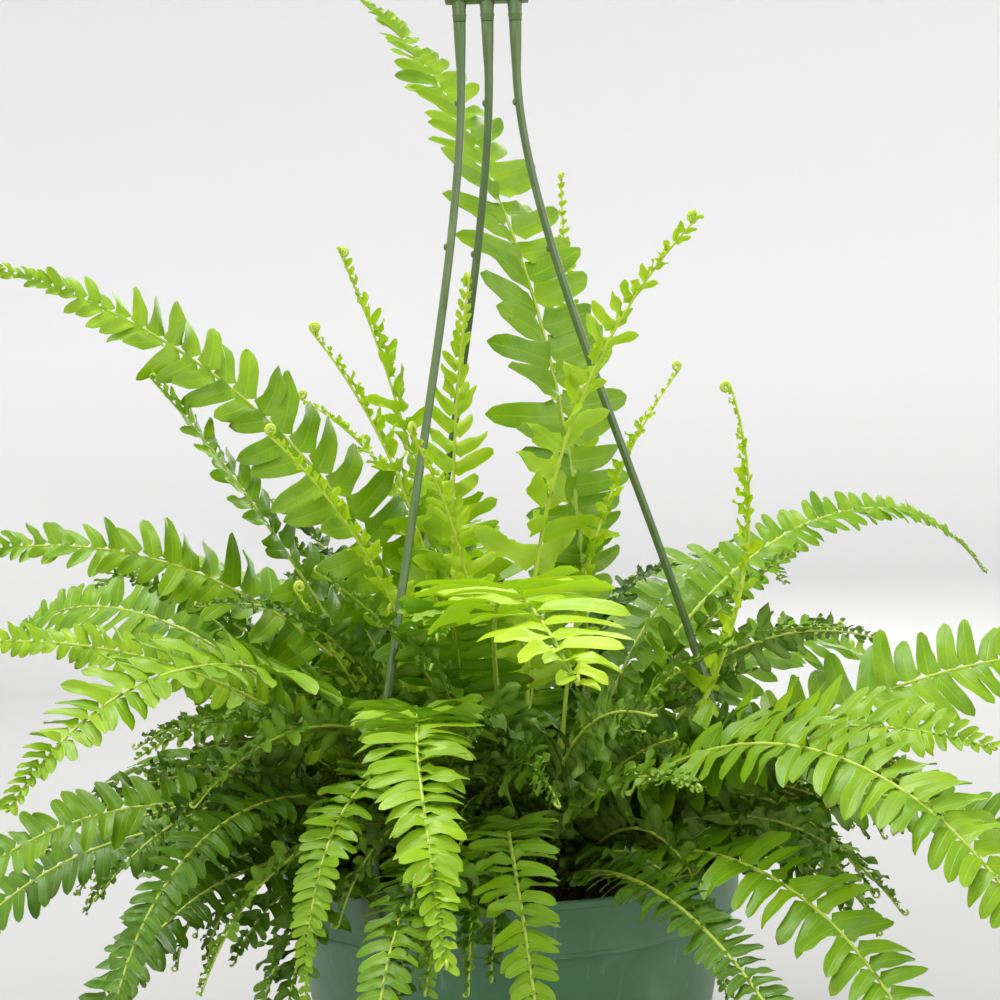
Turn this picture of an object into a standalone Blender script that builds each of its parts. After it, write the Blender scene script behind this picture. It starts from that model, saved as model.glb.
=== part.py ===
"""Potted sword fern in a hanging nursery pot, in metres, standing on the pot's base with +Z up.

The origin is the centre of the pot's base. -Y is the front of the plant. Every frond is its own
object: a stalk that rises from the crown at its heading, bends over by its droop, and carries a blade.
"""

import math
from collections import namedtuple

import bmesh
import bpy
from mathutils import Matrix, Vector

# Pot
POT_HEIGHT = 0.140
RIM_RADIUS = 0.1015
RIM_BAND = 0.023
RIM_WALL = 0.0022
BAND_TAPER = 0.0015
SHOULDER_RADIUS = 0.0955
BASE_RADIUS = 0.074
BASE_ROUND = 0.004
POT_WALL = 0.0016
FLOOR = 0.0025
DRAIN_COUNT = 6
DRAIN_CIRCLE = 0.050
DRAIN_RADIUS = 0.005
TURN_STEPS = 48

# Soil and crown
SOIL_TOP = 0.119
SOIL_MOUND = 0.003
CROWN_RADIUS = 0.050
CROWN_HEIGHT = 0.007
GAP = 0.0003

# Hanger
HEADER_BOTTOM = 0.511
HEADER_SIZE = (0.037, 0.0075, 0.009)
COLLAR_PITCH = 0.0122
COLLAR_LENGTH = 0.0085
COLLAR_RADII = (0.0034, 0.0029)
STRAND_RADIUS = 0.0018
STRAND_HEAD_RADIUS = 0.0028
STRAND_HEAD_LENGTH = 0.020
STRAND_TOP_HANDLE = 0.089
STRAND_BOTTOM_HANDLE = 0.081
STRAND_BEARINGS = {"front": -122, "right": -2, "back": 118}
CLIP_WIDTH = 0.008
CLIP_WALL = 0.0022
CLIP_CLEARANCE = 0.0005
CLIP_OUTER_LEG = 0.014
CLIP_INNER_LEG = 0.009
CLIP_INNER_LEAN = 0.0011
HOOK_ROD = 0.0026
HOOK_RADIUS = 0.0135
HOOK_STEM = 0.026
HOOK_MOUTH = 62.0
WEB_THICKNESS = 0.0036

# Fronds
STALK_RADIUS = 0.0011
BLADE_THICKNESS = 0.0007
TIP_RADIUS = 0.0008
BUD_RADII = (0.0012, 0.0022)
NOTCH = 0.45
LOBES = 10
YOUNG_LOBES = 7
STALK_STEPS = 4
PATH_STEPS = 96
BEND_POWER = 1.4

# root x and y, heading, rise, droop and swerve in degrees, length, reach of the leaflets each side,
# roll of the blade about its stalk in degrees, and the share of the length that is bare stalk
Frond = namedtuple("Frond", "x y heading rise droop swerve length reach roll bare", defaults=(0, 0.34))

FRONDS = {
    "frond_back_tall": Frond(0.034, 0.028, 134, 96, 64, -6, 0.485, 0.018, 0, 0.40),
    "frond_top_left": Frond(-0.008, 0.006, 184, 80, 67, 19, 0.360, 0.020, -50, 0.40),
    "frond_top_left_low": Frond(-0.022, -0.008, -164, 68, 19, 1, 0.260, 0.014, -30, 0.40),
    "frond_left_high": Frond(-0.012, 0.012, 187, 66, 79, 12, 0.295, 0.018, -35),
    "frond_left_back": Frond(-0.030, 0.000, 169, 55, 89, -38, 0.325, 0.018, -20),
    "frond_left_near": Frond(-0.024, -0.004, -143, 52, 61, -12, 0.275, 0.015, -20),
    "frond_left_low": Frond(-0.020, -0.018, -130, 62, 110, 9, 0.300, 0.020, 0),
    "frond_left_drop": Frond(-0.026, -0.022, -131, 48, 132, 15, 0.255, 0.013, 0),
    "frond_left_under": Frond(-0.034, 0.010, 183, 25, 109, 12, 0.295, 0.015, 0),
    "frond_left_shadow": Frond(-0.034, -0.022, -132, 30, 100, 10, 0.235, 0.012),
    "frond_front": Frond(-0.008, -0.020, -108, 54, 111, 31, 0.325, 0.019, 0),
    "frond_front_left": Frond(-0.014, -0.026, -116, 62, 155, 11, 0.225, 0.014, 0),
    "frond_front_under": Frond(-0.006, -0.034, -106, 38, 117, 5, 0.215, 0.013, 0),
    "frond_front_right": Frond(0.004, -0.032, -97, 43, 124, 19, 0.245, 0.013, 0),
    "frond_front_bright": Frond(0.006, -0.014, -101, 57, 85, 25, 0.360, 0.018),
    "frond_front_inner": Frond(-0.016, -0.010, -93, 79, 103, 1, 0.235, 0.017),
    "frond_right_big": Frond(0.022, -0.012, -52, 46, 63, 22, 0.230, 0.020, 20),
    "frond_right_near": Frond(0.018, -0.018, -52, 48, 127, -2, 0.335, 0.018, 10),
    "frond_right_drop": Frond(0.020, -0.028, -52, 30, 111, -8, 0.270, 0.015, 0),
    "frond_right_under": Frond(0.012, -0.034, -72, 26, 92, 14, 0.255, 0.014, 0),
    "frond_right_high": Frond(0.020, 0.016, 23, 65, 109, 22, 0.385, 0.014, 15),
    "frond_right_back": Frond(0.038, 0.014, 34, 59, 125, 5, 0.285, 0.015, 10),
    "frond_right_edge": Frond(0.034, 0.010, 5, 36, 48, -4, 0.315, 0.017, 25),
    "young_right_front": Frond(0.013, -0.012, -42, 97, 60, 5, 0.310, 0.008, 0, 0.45),
    "young_middle": Frond(-0.020, -0.008, -80, 99, 34, 14, 0.270, 0.009, 0, 0.40),
    "young_back": Frond(0.038, 0.042, 94, 81, 9, -3, 0.340, 0.004, 0, 0.60),
    "young_right_back": Frond(0.024, 0.008, 33, 91, 45, -6, 0.245, 0.004, 0, 0.60),
    "young_right": Frond(0.030, -0.014, -1, 47, -61, -3, 0.240, 0.006, 0, 0.55),
    "young_left_tall": Frond(-0.018, 0.014, 151, 88, 25, 0, 0.295, 0.007, 0, 0.50),
    "young_left": Frond(-0.026, -0.003, 176, 95, 44, 0, 0.260, 0.006, 0, 0.50),
    "young_left_back": Frond(-0.020, 0.022, 153, 99, 76, -5, 0.255, 0.004, 0, 0.60),
    "young_left_front": Frond(-0.020, -0.016, -142, 84, 45, -5, 0.225, 0.006, 0, 0.50),
    "young_centre": Frond(-0.008, -0.030, -114, 96, 54, -6, 0.215, 0.006, 0, 0.55),
    "young_left_small": Frond(-0.024, -0.016, -145, 65, 10, 1, 0.155, 0.005, 0, 0.50),
    "young_small": Frond(-0.033, -0.018, -151, 84, 6, 0, 0.125, 0.004, 0, 0.60),
    "frond_back_1": Frond(0.026, 0.024, 50, 68, 105, 8, 0.300, 0.018),
    "frond_back_2": Frond(0.018, 0.034, 72, 62, 110, -6, 0.290, 0.018),
    "frond_back_3": Frond(0.004, 0.028, 96, 70, 100, 8, 0.310, 0.019),
    "frond_back_4": Frond(-0.014, 0.030, 128, 60, 112, -6, 0.290, 0.018),
    "frond_back_5": Frond(-0.024, 0.024, 146, 68, 102, 6, 0.300, 0.018),
    "frond_back_low_1": Frond(0.043, 0.024, 36, 36, 100, 6, 0.265, 0.014),
    "frond_back_low_2": Frond(0.024, 0.038, 60, 38, 108, -4, 0.250, 0.014),
    "frond_back_low_3": Frond(0.008, 0.042, 84, 36, 104, 6, 0.255, 0.014),
    "frond_back_low_4": Frond(-0.008, 0.042, 108, 38, 108, -4, 0.250, 0.014),
    "frond_back_low_5": Frond(-0.022, 0.038, 132, 36, 102, 6, 0.260, 0.014),
    "frond_back_low_6": Frond(-0.036, 0.022, 156, 38, 104, -4, 0.255, 0.014),
    "frond_right_low": Frond(0.040, -0.010, -18, 34, 100, 6, 0.260, 0.014),
    "frond_left_side": Frond(-0.038, -0.008, -162, 36, 100, -4, 0.255, 0.014),
    "frond_inner_1": Frond(0.004, 0.010, 66, 80, 60, 10, 0.205, 0.013),
    "frond_inner_2": Frond(-0.006, 0.016, 110, 82, 62, -10, 0.215, 0.014),
    "frond_inner_3": Frond(0.018, -0.004, -22, 72, 78, -6, 0.190, 0.012),
}

STRAND_ORDER = ("front", "back", "right")
INNER_WORDS = ("low", "inner")

DARK_GREEN = (0.040, 0.130, 0.010, 1)
MID_GREEN = (0.160, 0.380, 0.010, 1)
YOUNG_GREEN = (0.330, 0.580, 0.030, 1)
POT_GREEN = (0.080, 0.240, 0.120, 1)
HANGER_GREEN = (0.110, 0.220, 0.080, 1)
SOIL_BROWN = (0.030, 0.020, 0.014, 1)
CROWN_BROWN = (0.090, 0.060, 0.025, 1)


def clear_scene():
    """Remove every object, mesh and curve of the startup scene."""
    for obj in list(bpy.data.objects):
        bpy.data.objects.remove(obj, do_unlink=True)


def make_collection(name, is_helper=False):
    collection = bpy.data.collections.new(name)
    collection.hide_render = is_helper
    bpy.context.scene.collection.children.link(collection)
    return collection


def plain_material(name, colour, roughness):
    material = bpy.data.materials.new(name)
    material.use_nodes = True
    shader = material.node_tree.nodes["Principled BSDF"]
    shader.inputs["Base Color"].default_value = colour
    shader.inputs["Roughness"].default_value = roughness
    material.diffuse_color = colour
    return material


def add_object(name, data, collection, material=None):
    obj = bpy.data.objects.new(name, data)
    collection.objects.link(obj)
    if material:
        data.materials.append(material)
    return obj


def shade_round(mesh):
    mesh.shade_smooth()
    mesh.set_sharp_from_angle(angle=math.radians(35))


def turned(name, profile, collection, material):
    """A solid of revolution from (radius, height) points that run down its outer side."""
    mesh = bpy.data.meshes.new(name)
    points = [(radius, 0, height) for radius, height in profile]
    edges = [(i, i + 1) for i in range(len(points) - 1)]
    mesh.from_pydata(points, edges, [])
    obj = add_object(name, mesh, collection, material)
    screw = obj.modifiers.new("turn", "SCREW")
    screw.steps = TURN_STEPS
    screw.render_steps = TURN_STEPS
    screw.use_merge_vertices = True
    screw.merge_threshold = 0.0001
    screw.use_smooth_shade = True
    return obj


def as_mesh(obj):
    """The evaluated object as a mesh object with welded points, in place of the original."""
    graph = bpy.context.evaluated_depsgraph_get()
    mesh = bpy.data.meshes.new_from_object(obj.evaluated_get(graph))
    mesh.transform(obj.matrix_world)
    work = bmesh.new()
    work.from_mesh(mesh)
    bmesh.ops.remove_doubles(work, verts=work.verts, dist=0.00001)
    bmesh.ops.recalc_face_normals(work, faces=work.faces)
    work.to_mesh(mesh)
    work.free()
    name = obj.name
    collection = obj.users_collection[0]
    bpy.data.objects.remove(obj, do_unlink=True)
    made = bpy.data.objects.new(name, mesh)
    collection.objects.link(made)
    return made


def add_boolean(obj, other, operation):
    other.hide_render = True
    other.display_type = "WIRE"
    modifier = obj.modifiers.new(other.name, "BOOLEAN")
    modifier.operation = operation
    modifier.object = other


def make_pot(parts, helpers, material):
    """Thin-walled tapered pot with a rolled rim band and drain holes round its floor."""
    band_foot = POT_HEIGHT - RIM_BAND
    inner_shoulder = SHOULDER_RADIUS - POT_WALL
    inner_base = BASE_RADIUS - POT_WALL
    rim_inner = RIM_RADIUS - RIM_WALL
    profile = [
        (0, FLOOR),
        (inner_base - BASE_ROUND, FLOOR),
        (inner_base, FLOOR + BASE_ROUND),
        (inner_shoulder, band_foot),
        (rim_inner - BAND_TAPER, band_foot + 0.004),
        (rim_inner, POT_HEIGHT - 0.0006),
        (rim_inner + 0.0006, POT_HEIGHT),
        (RIM_RADIUS - 0.0006, POT_HEIGHT),
        (RIM_RADIUS, POT_HEIGHT - 0.0006),
        (RIM_RADIUS, POT_HEIGHT - 0.003),
        (RIM_RADIUS - BAND_TAPER, band_foot + 0.0006),
        (RIM_RADIUS - BAND_TAPER - 0.0006, band_foot),
        (SHOULDER_RADIUS, band_foot - 0.001),
        (BASE_RADIUS, BASE_ROUND),
        (BASE_RADIUS - 0.0015, 0.0010),
        (BASE_RADIUS - BASE_ROUND, 0),
        (0, 0),
    ]
    pot = turned("pot", profile, parts, material)
    cutter_mesh = bpy.data.meshes.new("drain_cutters")
    work = bmesh.new()
    for index in range(DRAIN_COUNT):
        angle = math.tau * (index + 0.5) / DRAIN_COUNT
        place = Vector((DRAIN_CIRCLE * math.cos(angle), DRAIN_CIRCLE * math.sin(angle), FLOOR / 2))
        bmesh.ops.create_cone(
            work,
            cap_ends=True,
            segments=12,
            radius1=DRAIN_RADIUS,
            radius2=DRAIN_RADIUS,
            depth=FLOOR * 4,
            matrix=Matrix.Translation(place),
        )
    work.to_mesh(cutter_mesh)
    work.free()
    cutters = add_object("drain_cutters", cutter_mesh, helpers)
    add_boolean(pot, cutters, "DIFFERENCE")
    return pot


def make_soil(parts, material):
    """Potting mix that fills the pot to a little below its rim."""
    inner_base = BASE_RADIUS - POT_WALL - GAP
    slope = (SHOULDER_RADIUS - BASE_RADIUS) / (POT_HEIGHT - RIM_BAND)
    edge_height = SOIL_TOP - SOIL_MOUND
    edge_radius = BASE_RADIUS - POT_WALL + slope * (edge_height - BASE_ROUND - FLOOR) - 2 * GAP
    profile = [
        (0, SOIL_TOP),
        (CROWN_RADIUS + 0.006, SOIL_TOP),
        (edge_radius - 0.004, edge_height + 0.001),
        (edge_radius, edge_height - 0.002),
        (inner_base - GAP, FLOOR + BASE_ROUND + 0.001),
        (inner_base - BASE_ROUND - GAP, FLOOR + GAP),
        (0, FLOOR + GAP),
    ]
    return turned("soil", profile, parts, material)


def make_crown(parts, material):
    """The low knot of rhizome that every frond grows from, lying on the soil."""
    low = SOIL_TOP + GAP
    high = low + CROWN_HEIGHT
    profile = [
        (0, high),
        (CROWN_RADIUS - 0.006, high),
        (CROWN_RADIUS - 0.001, high - 0.003),
        (CROWN_RADIUS, low + 0.001),
        (CROWN_RADIUS - 0.002, low),
        (0, low),
    ]
    return turned("crown", profile, parts, material)


def tube(name, points, radius, collection, resolution, bevel_resolution=2):
    """A rod along Bezier points given as (place, handle before, handle after, radius factor)."""
    curve = bpy.data.curves.new(name, "CURVE")
    curve.dimensions = "3D"
    curve.bevel_depth = radius
    curve.bevel_resolution = bevel_resolution
    curve.resolution_u = resolution
    curve.use_fill_caps = True
    spline = curve.splines.new("BEZIER")
    spline.bezier_points.add(len(points) - 1)
    for point, (place, before, after, factor) in zip(spline.bezier_points, points):
        point.handle_left_type = "FREE"
        point.handle_right_type = "FREE"
        point.co = place
        point.handle_left = before
        point.handle_right = after
        point.radius = factor
    return add_object(name, curve, collection)


def flat_outline(name, outline, half_thickness, matrix, collection):
    """A straight-sided plate from an outline in its own X and Y."""
    curve = bpy.data.curves.new(name, "CURVE")
    curve.dimensions = "2D"
    curve.fill_mode = "BOTH"
    curve.extrude = half_thickness
    spline = curve.splines.new("POLY")
    spline.points.add(len(outline) - 1)
    for point, (x, y) in zip(spline.points, outline):
        point.co = (x, y, 0, 1)
    spline.use_cyclic_u = True
    obj = add_object(name, curve, collection)
    obj.matrix_world = matrix
    bpy.context.view_layer.update()
    return obj


def collar_place(index):
    return Vector(((index - 1) * COLLAR_PITCH, 0, HEADER_BOTTOM - COLLAR_LENGTH))


def make_header(parts, helpers, material):
    """The bar that gathers the strands, with its collars, its web and the hook above."""
    width, depth, height = HEADER_SIZE
    mesh = bpy.data.meshes.new("hanger_header")
    work = bmesh.new()
    centre = Matrix.Translation((0, 0, HEADER_BOTTOM + height / 2))
    bmesh.ops.create_cube(work, size=1, matrix=centre @ Matrix.Diagonal((width, depth, height, 1)))
    upright = [e for e in work.edges if abs(e.verts[0].co.z - e.verts[1].co.z) < 0.001]
    bmesh.ops.bevel(work, geom=upright, offset=0.0012, segments=2, profile=0.5, affect="EDGES", material=-1)
    work.to_mesh(mesh)
    work.free()
    header = add_object("hanger_header", mesh, parts, material)

    collars_mesh = bpy.data.meshes.new("collars")
    work = bmesh.new()
    for index in range(len(STRAND_BEARINGS)):
        length = COLLAR_LENGTH + 0.001
        place = collar_place(index) + Vector((0, 0, length / 2))
        bmesh.ops.create_cone(
            work,
            cap_ends=True,
            segments=16,
            radius1=COLLAR_RADII[1],
            radius2=COLLAR_RADII[0],
            depth=length,
            matrix=Matrix.Translation(place),
        )
    work.to_mesh(collars_mesh)
    work.free()
    collars = add_object("collars", collars_mesh, helpers)

    top = HEADER_BOTTOM + height
    web = [
        (-0.013, top - 0.001),
        (0.013, top - 0.001),
        (0.004, top + 0.011),
        (-0.004, top + 0.011),
    ]
    turn = Matrix.Rotation(math.radians(90), 4, "X")
    web_plate = as_mesh(flat_outline("web", web, WEB_THICKNESS / 2, turn, helpers))

    eye = Vector((0, 0, top + HOOK_STEM + HOOK_RADIUS))
    stem_foot = Vector((0, 0, top + 0.002))
    points = [(stem_foot, stem_foot, stem_foot + Vector((0, 0, 0.010)), 1)]
    sweep = 360 - HOOK_MOUTH
    count = 5
    reach = HOOK_RADIUS * 4 / 3 * math.tan(math.radians(sweep / (count - 1)) / 4)
    for index in range(count):
        angle = math.radians(-90 + sweep * index / (count - 1))
        place = eye + HOOK_RADIUS * Vector((math.cos(angle), 0, math.sin(angle)))
        along = Vector((-math.sin(angle), 0, math.cos(angle)))
        before = place - Vector((0, 0, 0.010)) if index == 0 else place - along * reach
        points.append((place, before, place + along * reach, 1))
    hook = as_mesh(tube("hook", points, HOOK_ROD, helpers, 8))
    for helper in (collars, web_plate, hook):
        add_boolean(header, helper, "UNION")
    return header


def make_strand(side, index, bearing, parts, helpers, material):
    """One hanger strand, from its collar in an S down to the clip that straddles the rim."""
    angle = math.radians(bearing)
    outward = Vector((math.cos(angle), math.sin(angle), 0))
    rim_middle = RIM_RADIUS - RIM_WALL / 2
    leg = RIM_WALL / 2 + CLIP_CLEARANCE
    under = POT_HEIGHT + CLIP_CLEARANCE
    outline = [
        (leg, under),
        (leg, POT_HEIGHT - CLIP_OUTER_LEG),
        (leg + CLIP_WALL, POT_HEIGHT - CLIP_OUTER_LEG),
        (leg + CLIP_WALL, under + CLIP_WALL),
        (-leg - CLIP_WALL, under + CLIP_WALL),
        (-leg - CLIP_WALL - CLIP_INNER_LEAN, POT_HEIGHT - CLIP_INNER_LEG),
        (-leg - CLIP_INNER_LEAN, POT_HEIGHT - CLIP_INNER_LEG),
        (-leg, under),
    ]
    axes = Matrix((outward, Vector((0, 0, 1)), outward.cross(Vector((0, 0, 1))))).transposed().to_4x4()
    frame = Matrix.Translation(outward * rim_middle) @ axes
    name = "hanger_strand_" + side
    clip = as_mesh(flat_outline(name, outline, CLIP_WIDTH / 2, frame, parts))
    clip.data.materials.clear()
    clip.data.materials.append(material)

    top = collar_place(index) - Vector((0, 0, GAP))
    neck = top - Vector((0, 0, STRAND_HEAD_LENGTH))
    foot = outward * rim_middle + Vector((0, 0, under + CLIP_WALL / 2))
    up = Vector((0, 0, 1))
    head_factor = STRAND_HEAD_RADIUS / STRAND_RADIUS
    points = [
        (top, top, top - up * 0.006, head_factor),
        (neck, neck + up * 0.006, neck - up * STRAND_TOP_HANDLE, 1),
        (foot, foot + up * STRAND_BOTTOM_HANDLE, foot, 1),
    ]
    rod = as_mesh(tube(name + "_rod", points, STRAND_RADIUS, helpers, 14))
    add_boolean(clip, rod, "UNION")
    return clip


def stalk_path(frond, base_height, count):
    """Points and directions along a frond: it rises at its heading, then bends over by its droop."""
    place = Vector((frond.x, frond.y, base_height))
    path = [(place.copy(), Vector((0, 0, 1)))]
    step = frond.length / count
    for index in range(count):
        share = (index + 0.5) / count
        pitch = math.radians(frond.rise - frond.droop * share**BEND_POWER)
        turn = math.radians(frond.heading + frond.swerve * share)
        flat = Vector((math.cos(turn), math.sin(turn), 0))
        along = flat * math.cos(pitch) + Vector((0, 0, math.sin(pitch)))
        place = place + along * step
        path.append((place.copy(), along))
    return path


def sideways(frond, share, along):
    """The direction of the leaflets to one side, level at first and then rolled."""
    turn = math.radians(frond.heading + frond.swerve * share)
    across = Vector((-math.sin(turn), math.cos(turn), 0))
    return Matrix.Rotation(math.radians(frond.roll), 3, along) @ across


def half_reach(frond, share):
    """Half the blade's width at a share of its length, full in the middle and narrow at both ends."""
    spread = (share - frond.bare) / (1 - frond.bare)
    return frond.reach * min(1, 0.45 + 2.2 * spread) * (1 - spread**2.2) ** 0.8


def make_frond(name, frond, parts, material):
    """One frond as a single loft: a bare stalk that flattens into a blade with a notched edge."""
    is_young = name.startswith("young")
    lobes = YOUNG_LOBES if is_young else LOBES
    base_height = SOIL_TOP + GAP + CROWN_HEIGHT + GAP
    path = stalk_path(frond, base_height, PATH_STEPS)
    shares = [frond.bare * i / STALK_STEPS for i in range(STALK_STEPS)]
    sizes = [(STALK_RADIUS, STALK_RADIUS)] * STALK_STEPS
    for index in range(2 * lobes + 1):
        share = frond.bare + (1 - frond.bare) * index / (2 * lobes)
        width = max(half_reach(frond, share) * (1 if index % 2 else NOTCH), STALK_RADIUS)
        shares.append(share)
        sizes.append((width, BLADE_THICKNESS))
    sizes[-1] = (TIP_RADIUS, BLADE_THICKNESS)
    if is_young:
        sizes[-3:-1] = [(radius, radius) for radius in BUD_RADII]

    work = bmesh.new()
    rings = []
    for share, (width, thickness) in zip(shares, sizes):
        place, along = path[round(share * PATH_STEPS)]
        across = sideways(frond, share, along)
        normal = along.cross(across).normalized()
        if not rings:
            across = Vector((1, 0, 0))
            normal = Vector((0, 1, 0))
        corners = (across * width, normal * thickness, -across * width, -normal * thickness)
        rings.append([work.verts.new(place + corner) for corner in corners])
    for lower, upper in zip(rings, rings[1:]):
        turn = best_turn(lower, upper)
        upper[:] = upper[turn:] + upper[:turn]
        for side in range(4):
            after = (side + 1) % 4
            work.faces.new((lower[side], lower[after], upper[after], upper[side]))
    work.faces.new(list(reversed(rings[0])))
    work.faces.new(rings[-1])
    bmesh.ops.recalc_face_normals(work, faces=work.faces)
    mesh = bpy.data.meshes.new(name)
    work.to_mesh(mesh)
    work.free()
    shade_round(mesh)
    return add_object(name, mesh, parts, material)


def age_of(name):
    """Whether a frond is young, one of the dark inner and lower ones, or a mature one."""
    if name.startswith("young"):
        return "young"
    return "inner" if any(word in name for word in INNER_WORDS) else "mature"


def best_turn(lower, upper):
    """How far to turn the upper ring's corners so that they sit over the lower ring's."""
    def spread(turn):
        return sum((lower[i].co - upper[(i + turn) % 4].co).length for i in range(4))

    return min(range(4), key=spread)


def main():
    clear_scene()
    parts = make_collection("potted_fern")
    helpers = make_collection("cutters", is_helper=True)
    pot_material = plain_material("pot_plastic", POT_GREEN, 0.42)
    hanger_material = plain_material("hanger_plastic", HANGER_GREEN, 0.45)
    make_pot(parts, helpers, pot_material)
    make_soil(parts, plain_material("soil", SOIL_BROWN, 0.95))
    make_crown(parts, plain_material("crown", CROWN_BROWN, 0.9))
    make_header(parts, helpers, hanger_material)
    for index, side in enumerate(STRAND_ORDER):
        make_strand(side, index, STRAND_BEARINGS[side], parts, helpers, hanger_material)
    leaves = {
        "young": plain_material("young_frond", YOUNG_GREEN, 0.5),
        "inner": plain_material("inner_frond", DARK_GREEN, 0.5),
        "mature": plain_material("mature_frond", MID_GREEN, 0.5),
    }
    for name, frond in FRONDS.items():
        make_frond(name, frond, parts, leaves[age_of(name)])


main()
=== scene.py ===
import math
import random

import bmesh
import bpy
from mathutils import Matrix, Vector, noise


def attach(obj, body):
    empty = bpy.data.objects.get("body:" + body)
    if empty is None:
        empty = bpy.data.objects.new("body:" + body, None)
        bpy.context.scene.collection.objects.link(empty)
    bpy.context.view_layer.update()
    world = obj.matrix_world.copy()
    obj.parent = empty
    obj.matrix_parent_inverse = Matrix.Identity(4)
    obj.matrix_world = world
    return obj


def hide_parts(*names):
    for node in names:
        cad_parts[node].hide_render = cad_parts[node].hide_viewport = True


# Potted sword fern in a hanging nursery pot. Lengths in metres, angles in degrees.
# The front of the plant is -Y and the pot stands on z = 0.

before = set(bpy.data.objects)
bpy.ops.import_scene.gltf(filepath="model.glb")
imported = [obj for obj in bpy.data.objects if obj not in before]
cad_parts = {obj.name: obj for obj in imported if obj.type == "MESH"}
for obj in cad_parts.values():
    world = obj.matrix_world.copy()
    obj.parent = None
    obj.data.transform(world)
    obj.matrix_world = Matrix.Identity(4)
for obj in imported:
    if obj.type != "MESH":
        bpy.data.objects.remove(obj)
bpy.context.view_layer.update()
up = Vector((0, 0, 1))
print("stage: frame loaded,", len(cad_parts), "nodes")


# small helpers

def polar(bearing, radius=1.0, height=0.0):
    angle = math.radians(bearing)
    return Vector((radius * math.cos(angle), radius * math.sin(angle), height))


def mix(low, high, share):
    return low + (high - low) * share


def axesAt(place, xAxis, yAxis, zAxis):
    return Matrix.Translation(place) @ Matrix((xAxis, yAxis, zAxis)).transposed().to_4x4()


def finishPiece(name, work, materials, replaces=(), smoothAngle=40):
    mesh = bpy.data.meshes.new(name)
    work.to_mesh(mesh)
    work.free()
    for material in materials:
        mesh.materials.append(material)
    mesh.shade_smooth()
    if smoothAngle:
        mesh.set_sharp_from_angle(angle=math.radians(smoothAngle))
    piece = bpy.data.objects.new(name, mesh)
    bpy.context.scene.collection.objects.link(piece)
    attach(piece, "root")
    if replaces:
        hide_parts(*replaces)
    return piece


def sweepTube(work, rings, sides=8, capEnds=True):
    # rings are (place, along, radius): one ring of vertices is pushed from each to the next
    place, along, radius = rings[0]
    turn = along.to_track_quat("Z", "Y").to_matrix().to_4x4()
    ring = bmesh.ops.create_circle(work, segments=sides, radius=1)["verts"]
    stand = Matrix.Translation(place) @ turn @ Matrix.Scale(radius, 4)
    bmesh.ops.transform(work, matrix=stand, verts=ring)
    edges = list({edge for vert in ring for edge in vert.link_edges})
    firstEdges = edges
    made = [list(ring)]
    lastAlong = along
    for place, along, radius in rings[1:]:
        turn = lastAlong.rotation_difference(along).to_matrix().to_4x4() @ turn
        nextStand = Matrix.Translation(place) @ turn @ Matrix.Scale(radius, 4)
        grown = bmesh.ops.extrude_edge_only(work, edges=edges)["geom"]
        ring = [item for item in grown if isinstance(item, bmesh.types.BMVert)]
        fresh = set(ring)
        edges = [
            item for item in grown
            if isinstance(item, bmesh.types.BMEdge) and item.verts[0] in fresh and item.verts[1] in fresh
        ]
        bmesh.ops.transform(work, matrix=nextStand @ stand.inverted(), verts=ring)
        stand = nextStand
        lastAlong = along
        made.append(ring)
    if capEnds:
        bmesh.ops.edgeloop_fill(work, edges=firstEdges)
        bmesh.ops.edgeloop_fill(work, edges=edges)
    faces = list({face for ring in made for vert in ring for face in vert.link_faces})
    bmesh.ops.recalc_face_normals(work, faces=faces)
    return made, faces


def spinProfile(work, profile, steps, centre=(0, 0, 0)):
    # turns (radius, height) points about the upright axis into a skin
    points = [work.verts.new((radius, 0, height)) for radius, height in profile]
    edges = [work.edges.new(pair) for pair in zip(points, points[1:])]
    bmesh.ops.translate(work, vec=centre, verts=points)
    bmesh.ops.spin(
        work, geom=points + edges, cent=centre, axis=(0, 0, 1), angle=math.tau, steps=steps, use_merge=True
    )
    bmesh.ops.remove_doubles(work, verts=work.verts, dist=0.00002)
    bmesh.ops.recalc_face_normals(work, faces=work.faces)


def bezierRings(start, startHandle, endHandle, end, count):
    # places and directions along one cubic curve
    rings = []
    for index in range(count + 1):
        t = index / count
        s = 1 - t
        place = s**3 * start + 3 * s * s * t * startHandle + 3 * s * t * t * endHandle + t**3 * end
        along = s * s * (startHandle - start) + 2 * s * t * (endHandle - startHandle) + t * t * (end - endHandle)
        rings.append((place, along.normalized()))
    return rings


# shader helpers

def newMaterial(name):
    material = bpy.data.materials.new(name)
    material.use_nodes = True
    return material, material.node_tree, material.node_tree.nodes["Principled BSDF"]


def addNode(tree, kind, **values):
    node = tree.nodes.new(kind)
    for key, value in values.items():
        setattr(node, key, value)
    return node


def setInputs(node, **values):
    for key, value in values.items():
        node.inputs[key.replace("_", " ")].default_value = value


def feed(tree, socket, value):
    if isinstance(value, (int, float)):
        socket.default_value = value
    elif isinstance(value, tuple):
        socket.default_value = (*value, 1)
    else:
        tree.links.new(value, socket)


def mathNode(tree, operation, *values):
    node = addNode(tree, "ShaderNodeMath", operation=operation)
    for socket, value in zip(node.inputs, values):
        feed(tree, socket, value)
    return node.outputs[0]


def mixColour(tree, factor, first, second, blend="MIX"):
    node = addNode(tree, "ShaderNodeMix", data_type="RGBA", blend_type=blend)
    feed(tree, node.inputs[0], factor)
    feed(tree, node.inputs[6], first)
    feed(tree, node.inputs[7], second)
    return node.outputs[2]


def remap(tree, value, low, high, newLow=0.0, newHigh=1.0, kind="LINEAR"):
    node = addNode(tree, "ShaderNodeMapRange", interpolation_type=kind)
    for socket, item in zip(node.inputs, (value, low, high, newLow, newHigh)):
        feed(tree, socket, item)
    return node.outputs[0]


def objectPlace(tree):
    return addNode(tree, "ShaderNodeTexCoord").outputs["Object"]


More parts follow.
